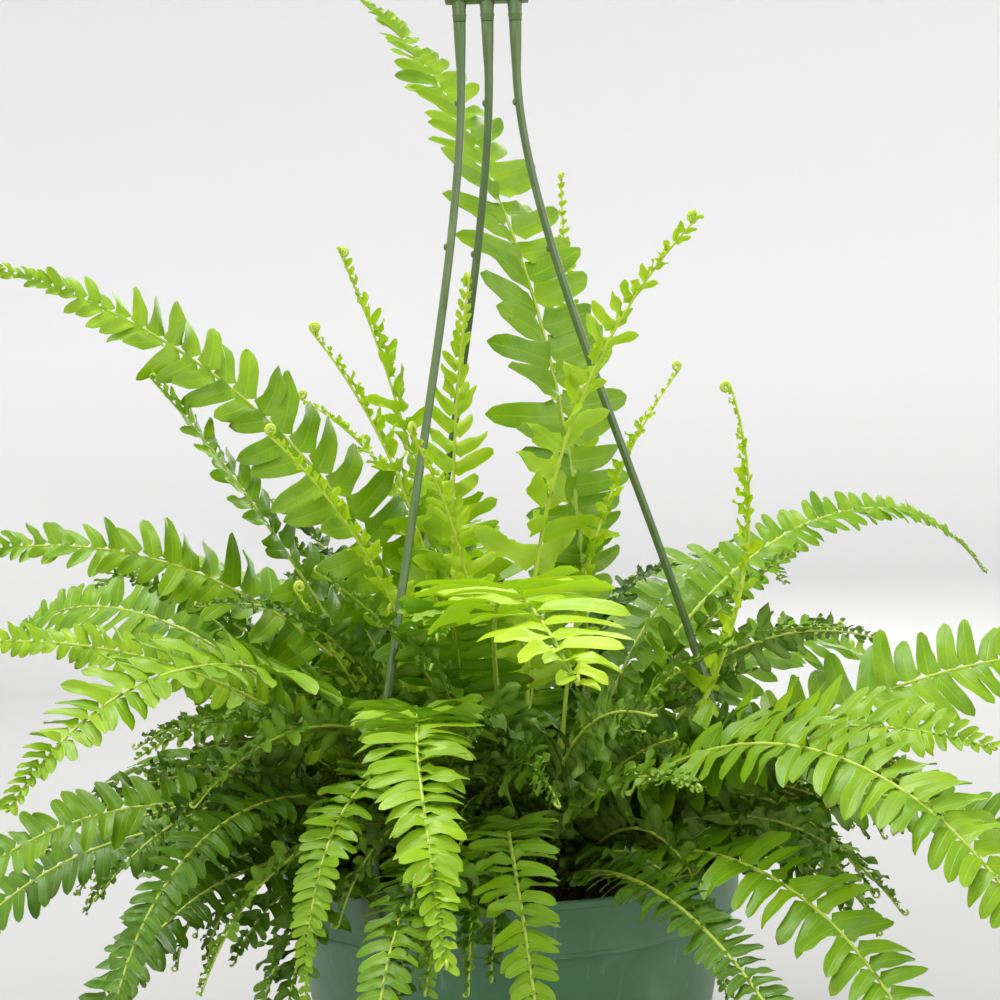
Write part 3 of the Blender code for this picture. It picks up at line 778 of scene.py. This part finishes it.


# short sprigs that fill the heart of the plant, in the darker inner leaf colours: painted shade as well as age

sprigs = {
    "seed": 7,
    "length": (0.09, 0.21),
    "leaflet": (13, 22),
    "age": (0.35, 0.90),
    "spacing": 1.0,
    "groups": {  # bearings that each group grows between, and how many sprigs it has
        "sprigsFront": (-135, -45, 22),
        "sprigsRight": (-45, 60, 20),
        "sprigsBack": (60, 150, 14),
        "sprigsLeft": (150, 225, 20),
    },
    "skirts": {  # low sprigs that spill over the rim
        "skirtFrontLeft": (-175, -92, 17),
        "skirtFrontRight": (-62, 10, 12),
        "skirtBack": (15, 180, 22),
    },
    "skirtLength": (0.12, 0.19),
}


def sprigSpecs(low, high, count, rng, isSkirt):
    specs = []
    for index in range(count):
        bearing = mix(low, high, (index + rng.random()) / count)
        root = polar(bearing, rng.uniform(0.036, 0.047) if isSkirt else rng.uniform(0.012, 0.046))
        rise = rng.uniform(32, 58) if isSkirt else rng.uniform(38, 92)
        droop = rng.uniform(100, 135) if isSkirt else rng.uniform(40, 120)
        specs.append((
            root.x, root.y, bearing + rng.gauss(0, 8 if isSkirt else 18), rise, droop, rng.gauss(0, 14),
            rng.uniform(*sprigs["skirtLength" if isSkirt else "length"]), rng.gauss(0, 34), rng.uniform(*sprigs["leaflet"]),
            rng.uniform(*sprigs["age"]), rng.uniform(0.08, 0.2),
        ))
    return specs


rng = random.Random(sprigs["seed"])
for name, (low, high, count) in {**sprigs["groups"], **sprigs["skirts"]}.items():
    specs = sprigSpecs(low, high, count, rng, name in sprigs["skirts"])
    stripRoom = 0.012 * len(specs)
    places = [leafletPlaces(spec, sprigs["spacing"]) for spec in specs]
    total = sum(len(items) for items in places)
    cells = bakeCells(total, 0, 1 - stripRoom)
    group = startFrondWork()
    first = 0
    for index, spec in enumerate(specs):
        work = startFrondWork()
        strip = (1 - 0.012 * (index + 1), 1 - 0.012 * index)
        addFrond(work, spec, rng, cells[first:first + len(places[index])], strip, places[index], unruly=True)
        first += len(places[index])
        sprigMesh = bpy.data.meshes.new("sprig")
        work.to_mesh(sprigMesh)
        work.free()
        group.from_mesh(sprigMesh)
        bpy.data.meshes.remove(sprigMesh)
    finishPiece(name, group, [leafMaterials["innerLeafPaintedShade"], stalkMaterial], smoothAngle=0)
    print("stage:", name, "made,", total, "leaflets")


# moulded plastic, shared by the pot and the hanger

def makeMouldedPlastic():
    # mottled colour, dull patches, fine scratches and dust
    group, given, result = newGroup(
        "mouldedPlastic",
        [
            ("Base", "NodeSocketColor", (0.1, 0.25, 0.12, 1)),
            ("Worn", "NodeSocketColor", (0.3, 0.42, 0.3, 1)),
            ("Wear", "NodeSocketFloat", 0.5),
            ("Scale", "NodeSocketFloat", 60.0),
        ],
        [
            ("Colour", "NodeSocketColor"),
            ("Roughness", "NodeSocketFloat"),
            ("Height", "NodeSocketFloat"),
        ],
    )
    broad = addNode(group, "ShaderNodeTexNoise")
    setInputs(broad, Detail=3.0)
    place = objectPlace(group)
    group.links.new(place, broad.inputs["Vector"])
    group.links.new(given.outputs["Scale"], broad.inputs["Scale"])
    fine = noiseValue(group, 1400.0, 2)
    stretched = addNode(group, "ShaderNodeMapping")
    stretched.inputs["Scale"].default_value = (1, 1, 0.12)
    group.links.new(place, stretched.inputs["Vector"])
    streak = noiseValue(group, 260.0, 2, stretched.outputs[0])
    dark = mixColour(group, 0.14, given.outputs["Base"], (0.0, 0.02, 0.01))
    tone = mixColour(group, remap(group, broad.outputs["Fac"], 0.35, 0.65), dark, given.outputs["Base"])
    scuff = remap(group, streak, 0.63, 0.70)
    patch = remap(group, noiseValue(group, 24.0, 3), 0.58, 0.72)
    worn = mathNode(group, "MULTIPLY", mathNode(group, "MULTIPLY_ADD", patch, 0.35, mathNode(
        group, "MULTIPLY", scuff, 0.30)), given.outputs["Wear"])
    group.links.new(mixColour(group, worn, tone, given.outputs["Worn"]), result.inputs["Colour"])
    rough = mathNode(group, "MULTIPLY_ADD", worn, 0.5, mathNode(group, "MULTIPLY_ADD", fine, 0.14, 0.34))
    group.links.new(rough, result.inputs["Roughness"])
    group.links.new(mathNode(group, "MULTIPLY_ADD", streak, 0.4, fine), result.inputs["Height"])
    return group


def makePlastic(name, group, base, worn, wear, scale, bump):
    material, tree, shader = newMaterial(name)
    tone = addNode(tree, "ShaderNodeGroup", node_tree=group)
    setInputs(tone, Base=(*base, 1), Worn=(*worn, 1), Wear=wear, Scale=scale)
    tree.links.new(tone.outputs["Colour"], shader.inputs["Base Color"])
    tree.links.new(tone.outputs["Roughness"], shader.inputs["Roughness"])
    addBump(tree, shader, tone.outputs["Height"], bump, 0.0004)
    return material


mouldedPlastic = makeMouldedPlastic()
potPlastic = makePlastic("potPlastic", mouldedPlastic, (0.078, 0.200, 0.092), (0.30, 0.42, 0.32), 0.8, 42.0, 0.10)
hangerPlastic = makePlastic("hangerPlastic", mouldedPlastic, (0.100, 0.165, 0.046), (0.30, 0.38, 0.20), 0.6, 90.0, 0.14)


# pot

pot = {
    "height": 0.140,
    "rimRadius": 0.1015,
    "rimBand": 0.023,
    "rimWall": 0.0022,
    "bandTaper": 0.0015,
    "shoulder": 0.0955,
    "base": 0.074,
    "baseRound": 0.004,
    "wall": 0.0016,
    "floor": 0.0025,
    "stepHeights": (0.052, 0.058),   # two fine moulded lines round the wall
    "drainCircle": 0.050,
    "drainRadius": 0.005,
    "turnSteps": 144,
    "edgeRound": 0.0005,
}


def makePot():
    bandFoot = pot["height"] - pot["rimBand"]
    innerRim = pot["rimRadius"] - pot["rimWall"]
    lift = (pot["shoulder"] - pot["base"]) / (bandFoot - pot["baseRound"])
    outer = pot["rimRadius"] - pot["bandTaper"]
    wallLines = []
    for height in sorted(pot["stepHeights"], reverse=True):
        radius = pot["base"] + lift * (height - pot["baseRound"])
        wallLines += [(radius + 0.0004, height + 0.0006), (radius, height), (radius, height - 0.0002)]
    profile = [
        (0, pot["floor"]),
        (pot["drainCircle"] + 0.009, pot["floor"]),
        (pot["base"] - pot["wall"] - pot["baseRound"], pot["floor"]),
        (pot["base"] - pot["wall"], pot["floor"] + pot["baseRound"]),
        (pot["shoulder"] - pot["wall"], bandFoot),
        (innerRim - pot["bandTaper"], bandFoot + 0.004),
        (innerRim, pot["height"] - 0.0022),
        (innerRim + 0.0001, pot["height"] - 0.0006),
        (innerRim + 0.0007, pot["height"]),
        (pot["rimRadius"] - 0.0007, pot["height"]),
        (pot["rimRadius"], pot["height"] - 0.0007),
        (pot["rimRadius"], pot["height"] - 0.0030),
        (pot["rimRadius"] - 0.0007, pot["height"] - 0.0036),
        (outer - 0.0002, bandFoot + 0.0026),
        (outer + 0.0003, bandFoot + 0.0019),
        (outer + 0.0003, bandFoot + 0.0006),
        (outer - 0.0006, bandFoot),
        (pot["shoulder"], bandFoot - 0.0010),
        *wallLines,
        (pot["base"], pot["baseRound"]),
        (pot["base"] - 0.0015, 0.0010),
        (pot["base"] - pot["baseRound"], 0),
        (pot["base"] - pot["baseRound"] - 0.006, 0),
        (pot["base"] - pot["baseRound"] - 0.0068, 0.0007),
        (0.012, 0.0007),
        (0.0112, 0),
        (0, 0),
    ]
    work = bmesh.new()
    spinProfile(work, profile, pot["turnSteps"])
    rims = [
        edge for edge in work.edges
        if edge.is_manifold and edge.calc_face_angle(0) > 0.5 and abs(edge.verts[0].co.z - edge.verts[1].co.z) < 0.00001
        and edge.verts[0].co.z > 0.1
    ]
    bmesh.ops.bevel(work, geom=rims, offset=0.0002, segments=2, profile=0.5, affect="EDGES", material=-1)
    bmesh.ops.recalc_face_normals(work, faces=work.faces)
    piece = finishPiece("pot.moulded", work, [potPlastic], ["pot"], smoothAngle=32)
    cutter = bmesh.new()
    for index in range(6):
        place = polar(60 * (index + 0.5), pot["drainCircle"], 0.001)
        bmesh.ops.create_cone(
            cutter, cap_ends=True, segments=28, radius1=pot["drainRadius"], radius2=pot["drainRadius"],
            depth=0.02, matrix=Matrix.Translation(place) @ Matrix.Rotation(math.radians(4.3), 4, "Z"),
        )
    cutterMesh = bpy.data.meshes.new("drainCutter")
    cutter.to_mesh(cutterMesh)
    cutter.free()
    cutterPiece = bpy.data.objects.new("drainCutter", cutterMesh)
    bpy.context.scene.collection.objects.link(cutterPiece)
    cut = piece.modifiers.new("drainHoles", "BOOLEAN")
    cut.object = cutterPiece
    cut.operation = "DIFFERENCE"
    cut.solver = "EXACT"
    bpy.context.view_layer.update()
    shaped = bpy.data.meshes.new_from_object(piece.evaluated_get(bpy.context.evaluated_depsgraph_get()))
    piece.modifiers.clear()
    piece.data = shaped
    shaped.set_sharp_from_angle(angle=math.radians(32))
    bpy.data.objects.remove(cutterPiece)
    return piece


makePot()
print("stage: pot made")


# potting mix and crown

mixBed = {
    "top": 0.119,
    "edgeHeight": 0.1155,
    "radius": 0.0925,
    "foot": 0.0034,
    "crumbs": 520,
    "crumbSize": (0.0008, 0.0030),
    "seed": 21,
}

crown = {
    "radius": 0.049,
    "foot": 0.1170,
    "height": 0.0085,
    "stubs": 64,
    "stubHeight": (0.006, 0.017),
    "seed": 5,
}


def makeEarthMaterial(name, dark, mid, pale, scale, paleFrom):
    material, tree, shader = newMaterial(name)
    broad = noiseValue(tree, scale, 4)
    grit = noiseValue(tree, scale * 4, 2)
    tint = attributeValue(tree, "tint")
    tone = mixColour(tree, remap(tree, broad, 0.35, 0.68), dark, mid)
    tone = mixColour(tree, remap(tree, tint, paleFrom, paleFrom + 0.04), tone, pale)
    tone = mixColour(tree, remap(tree, grit, 0.60, 0.75, 0, 0.5), tone, mid)
    tree.links.new(tone, shader.inputs["Base Color"])
    tree.links.new(remap(tree, grit, 0.3, 0.7, 0.75, 0.98), shader.inputs["Roughness"])
    addBump(tree, shader, mathNode(tree, "ADD", broad, grit), 0.8, 0.0012)
    return material


pottingMix = makeEarthMaterial("pottingMix", (0.012, 0.007, 0.004), (0.060, 0.034, 0.018), (0.52, 0.49, 0.43), 220.0, 0.93)
rhizome = makeEarthMaterial("rhizome", (0.035, 0.018, 0.008), (0.150, 0.085, 0.030), (0.22, 0.20, 0.05), 420.0, 0.60)


def roughen(verts, amount, scale, rng):
    # pushes points about with smooth noise
    shift = Vector((rng.uniform(0, 9), rng.uniform(0, 9), rng.uniform(0, 9)))
    for vert in verts:
        vert.co += noise.noise_vector(vert.co * scale + shift) * amount


def makeMixBed():
    rng = random.Random(mixBed["seed"])
    top, edge, radius, foot = mixBed["top"], mixBed["edgeHeight"], mixBed["radius"], mixBed["foot"]
    profile = [(radius * index / 22, mix(top, edge, (index / 22) ** 2.2)) for index in range(23)]
    profile += [(radius + 0.0005, edge - 0.003), (0.0735, 0.012), (0.0685, foot), (0, foot)]
    work = bmesh.new()
    spinProfile(work, profile, 84)
    tintLayer = work.verts.layers.float.new("tint")
    surface = [vert for vert in work.verts if vert.co.z > edge - 0.0005 and math.hypot(vert.co.x, vert.co.y) < radius - 0.002]
    for vert in surface:
        bump = noise.noise(vert.co * 95) * 0.0012 + noise.noise(vert.co * 260) * 0.0007
        vert.co.z += bump - 0.0006
    for index in range(mixBed["crumbs"]):
        spread = math.sqrt(rng.uniform(0.18, 1)) * (radius - 0.003)
        place = polar(rng.uniform(0, 360), spread, 0)
        place.z = mix(top, edge, (spread / radius) ** 2.2) + rng.uniform(-0.0006, 0.0008)
        size = mix(*mixBed["crumbSize"], rng.random() ** 2.2)
        tint = rng.random()
        squash = Matrix.Diagonal((size * rng.uniform(0.7, 1.5), size * rng.uniform(0.5, 1.1), size * rng.uniform(0.4, 0.9), 1))
        turn = Matrix.Rotation(rng.uniform(0, 6.3), 4, "Z") @ Matrix.Rotation(rng.uniform(-0.6, 0.6), 4, "X")
        crumb = bmesh.ops.create_icosphere(work, subdivisions=1, radius=1, matrix=Matrix.Translation(place) @ turn @ squash)
        roughen(crumb["verts"], size * 0.35, 400, rng)
        for vert in crumb["verts"]:
            vert[tintLayer] = tint
    finishPiece("soil.pottingMix", work, [pottingMix], ["soil"], smoothAngle=35)


def makeCrown():
    rng = random.Random(crown["seed"])
    work = bmesh.new()
    tintLayer = work.verts.layers.float.new("tint")
    radius, foot, height = crown["radius"], crown["foot"], crown["height"]
    profile = [(radius * math.sin(math.radians(turn)), foot + height * math.cos(math.radians(turn))) for turn in range(0, 91, 6)]
    profile[0] = (0, foot + height)
    profile += [(radius * 0.9, foot - 0.002), (0, foot - 0.002)]
    spinProfile(work, profile, 72)
    for vert in work.verts:
        if vert.co.z > foot:
            vert.co.z += noise.noise(vert.co * 130) * 0.0016 + noise.noise(vert.co * 330) * 0.0009
    for index in range(crown["stubs"]):
        spread = math.sqrt(rng.random()) * radius * 0.9
        place = polar(rng.uniform(0, 360), spread, foot + 0.003)
        lean = (up + Vector((place.x, place.y, 0)) * rng.uniform(2, 14) + Vector((rng.gauss(0, 0.2), rng.gauss(0, 0.2), 0))).normalized()
        tall = rng.uniform(*crown["stubHeight"])
        thick = rng.uniform(0.0010, 0.0021)
        sway = Vector((rng.gauss(0, 0.15), rng.gauss(0, 0.15), 0))
        rings = []
        for step in range(5):
            share = step / 4
            along = (lean + sway * share).normalized()
            rings.append((place + lean * tall * share + sway * tall * share**2 * 0.5, along, thick * (1.25 - 0.45 * share)))
        made, faces = sweepTube(work, rings, sides=7)
        tint = rng.random()
        for ring in made:
            for vert in ring:
                vert[tintLayer] = tint
    finishPiece("crown.rhizome", work, [rhizome], ["crown"], smoothAngle=50)


makeMixBed()
makeCrown()
print("stage: potting mix and crown made")


# hanger

header = {
    "edgeRound": 0.0009,
    "recessRim": 0.0013,
    "recessDepth": 0.0013,
    "ribs": 9,
    "ribWidth": 0.0009,
    "webFoot": 0.013,
    "webTop": 0.004,
    "webHeight": 0.011,
    "webThickness": 0.0036,
    "hookRod": 0.0026,
    "hookRadius": 0.0135,
    "eyeHeight": 0.5595,
    "hookSweep": 298,
}

clip = {
    "width": 0.008,
    "wall": 0.0022,
    "leg": 0.0016,       # from the rim's middle to a leg
    "under": 0.1405,
    "outerFoot": 0.126,
    "innerFoot": 0.131,
    "innerLean": 0.0011,
    "edgeRound": 0.0005,
    "flareRadius": 0.0029,
    "ridge": 0.00035,
    "nubRadius": 0.0011,
}


def addPlate(work, outline, thickness, stand, edgeRound):
    # a flat outline made solid, with its edges rounded
    corners = [work.verts.new((x, y, -thickness / 2)) for x, y in outline]
    face = work.faces.new(corners)
    grown = bmesh.ops.extrude_face_region(work, geom=[face])["geom"]
    moved = [item for item in grown if isinstance(item, bmesh.types.BMVert)]
    bmesh.ops.translate(work, vec=(0, 0, thickness), verts=moved)
    work.faces.ensure_lookup_table()
    verts = set(corners + moved)
    edges = list({edge for vert in verts for edge in vert.link_edges})
    rounded = bmesh.ops.bevel(work, geom=edges, offset=edgeRound, segments=2, profile=0.5, affect="EDGES", material=-1)
    verts = {vert for vert in verts if vert.is_valid} | {vert for face in rounded["faces"] for vert in face.verts}
    linked = set(verts)
    for vert in verts:
        linked.update(other for face in vert.link_faces for other in face.verts)
    bmesh.ops.transform(work, matrix=stand, verts=list(linked))
    bmesh.ops.recalc_face_normals(work, faces=list({face for vert in linked for face in vert.link_faces}))


def makeHeader():
    width, depth, height = hanger["barSize"]
    foot = hanger["barFoot"]
    work = bmesh.new()
    stand = Matrix.Translation((0, 0, foot + height / 2)) @ Matrix.Diagonal((width, depth, height, 1))
    bmesh.ops.create_cube(work, size=1, matrix=stand)
    bmesh.ops.bevel(
        work, geom=work.edges[:], offset=header["edgeRound"], segments=3, profile=0.5, affect="EDGES", material=-1
    )
    for side in (-1, 1):
        wide = max(work.faces, key=lambda face: face.normal.y * side * face.calc_area())
        bmesh.ops.inset_region(work, faces=[wide], thickness=header["recessRim"], use_even_offset=True)
        bmesh.ops.inset_region(work, faces=[wide], thickness=0.0003, depth=-header["recessDepth"], use_even_offset=True)
        for index in range(header["ribs"]):
            x = (index - (header["ribs"] - 1) / 2) * (width - 0.006) / (header["ribs"] - 1)
            place = Vector((x, side * (depth / 2 - header["recessDepth"] + 0.0002), foot + height / 2))
            size = (header["ribWidth"], header["recessDepth"] * 1.5, height - 0.0032, 1)
            bmesh.ops.create_cube(work, size=1, matrix=Matrix.Translation(place) @ Matrix.Diagonal(size))
    low, high = hanger["collarRadii"][1], hanger["collarRadii"][0]
    for order in range(3):
        x = (order - 1) * hanger["collarPitch"]
        collarFoot = foot - hanger["collarLength"]
        collarRings = [
            (0.0, low * 0.94), (0.0003, low), (0.0022, low * 1.02), (0.0026, low * 1.10),
            (0.0034, low * 1.10), (0.0038, low * 1.04), (hanger["collarLength"] + 0.001, high),
        ]
        sweepTube(work, [(Vector((x, 0, collarFoot + rise)), up, radius) for rise, radius in collarRings], sides=20)
    top = foot + height
    web = [
        (-header["webFoot"], top - 0.001), (header["webFoot"], top - 0.001),
        (header["webTop"], top + header["webHeight"]), (-header["webTop"], top + header["webHeight"]),
    ]
    addPlate(work, web, header["webThickness"], Matrix.Rotation(math.radians(90), 4, "X"), 0.0006)
    eye = Vector((0, 0, header["eyeHeight"]))
    radius, rod = header["hookRadius"], header["hookRod"]
    rings = [(Vector((0, 0, mix(top + 0.002, eye.z - radius - 0.006, step / 5))), up, rod) for step in range(6)]
    joint = bezierRings(
        Vector((0, 0, eye.z - radius - 0.006)), Vector((0, 0, eye.z - radius - 0.001)),
        eye + Vector((0, 0, -radius)), eye + polar(0) * 0 + Vector((radius * 0.42, 0, -radius * 0.91)), 6,
    )
    rings += [(place, along, rod) for place, along in joint[1:]]
    for step in range(1, 37):
        angle = math.radians(mix(-65, header["hookSweep"] - 90, step / 36))
        along = Vector((-math.sin(angle), 0, math.cos(angle)))
        shrink = 1 if step < 34 else (0.94, 0.8, 0.5)[step - 34]
        rings.append((eye + Vector((radius * math.cos(angle), 0, radius * math.sin(angle))), along, rod * shrink))
    sweepTube(work, rings, sides=18)
    finishPiece("hanger.header", work, [hangerPlastic], ["hanger_header"], smoothAngle=35)


def makeStrand(side):
    head, drop = strandRoutes[side]
    bearing = hanger["bearings"][side]
    work = bmesh.new()
    rings = []
    for index, (place, along) in enumerate(head[:-1]):
        share = index / (len(head) - 1)
        rings.append((place, along, mix(hanger["headRadius"], hanger["strandRadius"] * 1.1, share**1.4)))
    for index, (place, along) in enumerate(drop):
        share = index / (len(drop) - 1)
        radius = mix(hanger["strandRadius"] * 1.1, hanger["strandRadius"], min(1, share * 12))
        radius = mix(radius, clip["flareRadius"], max(0.0, (share - 0.94) / 0.06) ** 2)
        rings.append((place, along, radius))
    made, faces = sweepTube(work, rings, sides=16)
    for ring, (place, along, radius) in zip(made[2:-3], rings[2:-3]):
        # the mould's parting line runs down both sides
        for vert in (ring[0], ring[8]):
            vert.co += (vert.co - place).normalized() * clip["ridge"]
    for height in hanger["nubHeights"]:
        place, along = min(drop, key=lambda item: abs(item[0].z - height))
        place = place + Vector((-hanger["strandRadius"], 0, 0))
        shape = Matrix.Translation(place) @ Matrix.Diagonal((1, 1, 1.5, 1))
        bmesh.ops.create_uvsphere(work, u_segments=12, v_segments=8, radius=clip["nubRadius"], matrix=shape)
    leg, wall = clip["leg"], clip["wall"]
    outline = [
        (leg, clip["under"]), (leg, clip["outerFoot"]), (leg + wall, clip["outerFoot"]),
        (leg + wall, clip["under"] + wall), (-leg - wall, clip["under"] + wall),
        (-leg - wall - clip["innerLean"], clip["innerFoot"]), (-leg - clip["innerLean"], clip["innerFoot"]),
        (-leg, clip["under"]),
    ]
    outward = polar(bearing)
    stand = axesAt(outward * hanger["rimMiddle"], outward, up, outward.cross(up))
    addPlate(work, outline, clip["width"], stand, clip["edgeRound"])
    name = "hanger_strand_" + side
    finishPiece("hanger.strand." + side, work, [hangerPlastic], [name], smoothAngle=38)


makeHeader()
for side in hanger["bearings"]:
    makeStrand(side)
print("stage: hanger made")


# floor, light and camera

studio = {
    # the floor is darker than the wall near the plant, where the lamps light it most: painted shade that evens out the
    # backdrop
    "floorColour": (0.38, 0.38, 0.38),
    "middleColour": (0.44, 0.44, 0.44),
    "wallColour": (0.92, 0.92, 0.92),
    "skyColour": (0.98, 0.99, 1.0),
    "skyStrength": 0.80,
    "bowlFloor": 2.4,
    "bowlCurve": 1.4,
    "bowlHeight": 4.6,
    "cameraPlace": (0, -0.7485, 0.3073),
    "lens": 61.2,
    "tilt": 88.9,
    "spin": -1.5,
}


def makeStudio():
    material, tree, shader = newMaterial("paleFloor")
    distance = addNode(tree, "ShaderNodeVectorMath", operation="LENGTH")
    tree.links.new(objectPlace(tree), distance.inputs[0])
    # painted shade on the floor near the plant, fading out to the wall's own pale colour
    near = remap(tree, distance.outputs["Value"], 0.3, 1.6)
    far = remap(tree, distance.outputs["Value"], 1.8, studio["bowlFloor"] + 1.2)
    tone = mixColour(tree, near, studio["floorColour"], studio["middleColour"])
    tree.links.new(mixColour(tree, far, tone, studio["wallColour"]), shader.inputs["Base Color"])
    setInputs(shader, Roughness=0.9)
    floor, curve, height = studio["bowlFloor"], studio["bowlCurve"], studio["bowlHeight"]
    profile = [(0, 0), (floor, 0)]
    for index in range(1, 17):
        angle = math.radians(90 * index / 16)
        profile.append((floor + curve * math.sin(angle), curve * (1 - math.cos(angle))))
    profile.append((floor + curve, height))
    work = bmesh.new()
    spinProfile(work, profile, 96)
    if min(work.faces, key=lambda face: face.calc_center_median().z).normal.z < 0:
        bmesh.ops.reverse_faces(work, faces=work.faces)
    mesh = bpy.data.meshes.new("floor")
    work.to_mesh(mesh)
    work.free()
    mesh.materials.append(material)
    mesh.shade_smooth()
    bowl = bpy.data.objects.new("floor", mesh)
    bpy.context.scene.collection.objects.link(bowl)


def addLight(name, place, target, size, energy, colour):
    light = bpy.data.lights.new(name, "AREA")
    light.shape = "DISK"
    light.size = size
    light.energy = energy
    light.color = colour
    lamp = bpy.data.objects.new(name, light)
    bpy.context.scene.collection.objects.link(lamp)
    lamp.location = place
    lamp.rotation_euler = (Vector(target) - Vector(place)).to_track_quat("-Z", "Y").to_euler()


makeStudio()
addLight("keyLight", (-0.5, 0.3, 2.2), (0, 0, 0.25), 1.1, 42, (1.0, 0.99, 0.95))
addLight("frontLight", (-1.0, -2.0, 1.5), (0, 0, 0.3), 1.6, 24, (1.0, 1.0, 0.98))
addLight("rightLight", (2.0, -0.6, 1.2), (0, 0, 0.3), 1.4, 15, (1.0, 1.0, 1.0))
addLight("backLight", (0.6, 2.2, 1.3), (0, 0, 0.3), 1.4, 24, (1.0, 1.0, 0.96))

world = bpy.data.worlds.new("studioLight")
bpy.context.scene.world = world
world.use_nodes = True
setInputs(world.node_tree.nodes["Background"], Color=(*studio["skyColour"], 1), Strength=studio["skyStrength"])

cameraData = bpy.data.cameras.new("camera")
cameraData.lens = studio["lens"]
cameraData.sensor_width = 36
camera = bpy.data.objects.new("camera", cameraData)
bpy.context.scene.collection.objects.link(camera)
camera.matrix_world = (
    Matrix.Translation(studio["cameraPlace"])
    @ Matrix.Rotation(math.radians(studio["tilt"]), 4, "X")
    @ Matrix.Rotation(math.radians(studio["spin"]), 4, "Z")
)
bpy.context.scene.camera = camera
bpy.context.scene.view_settings.view_transform = "Standard"
print("stage: floor, lights and camera set")
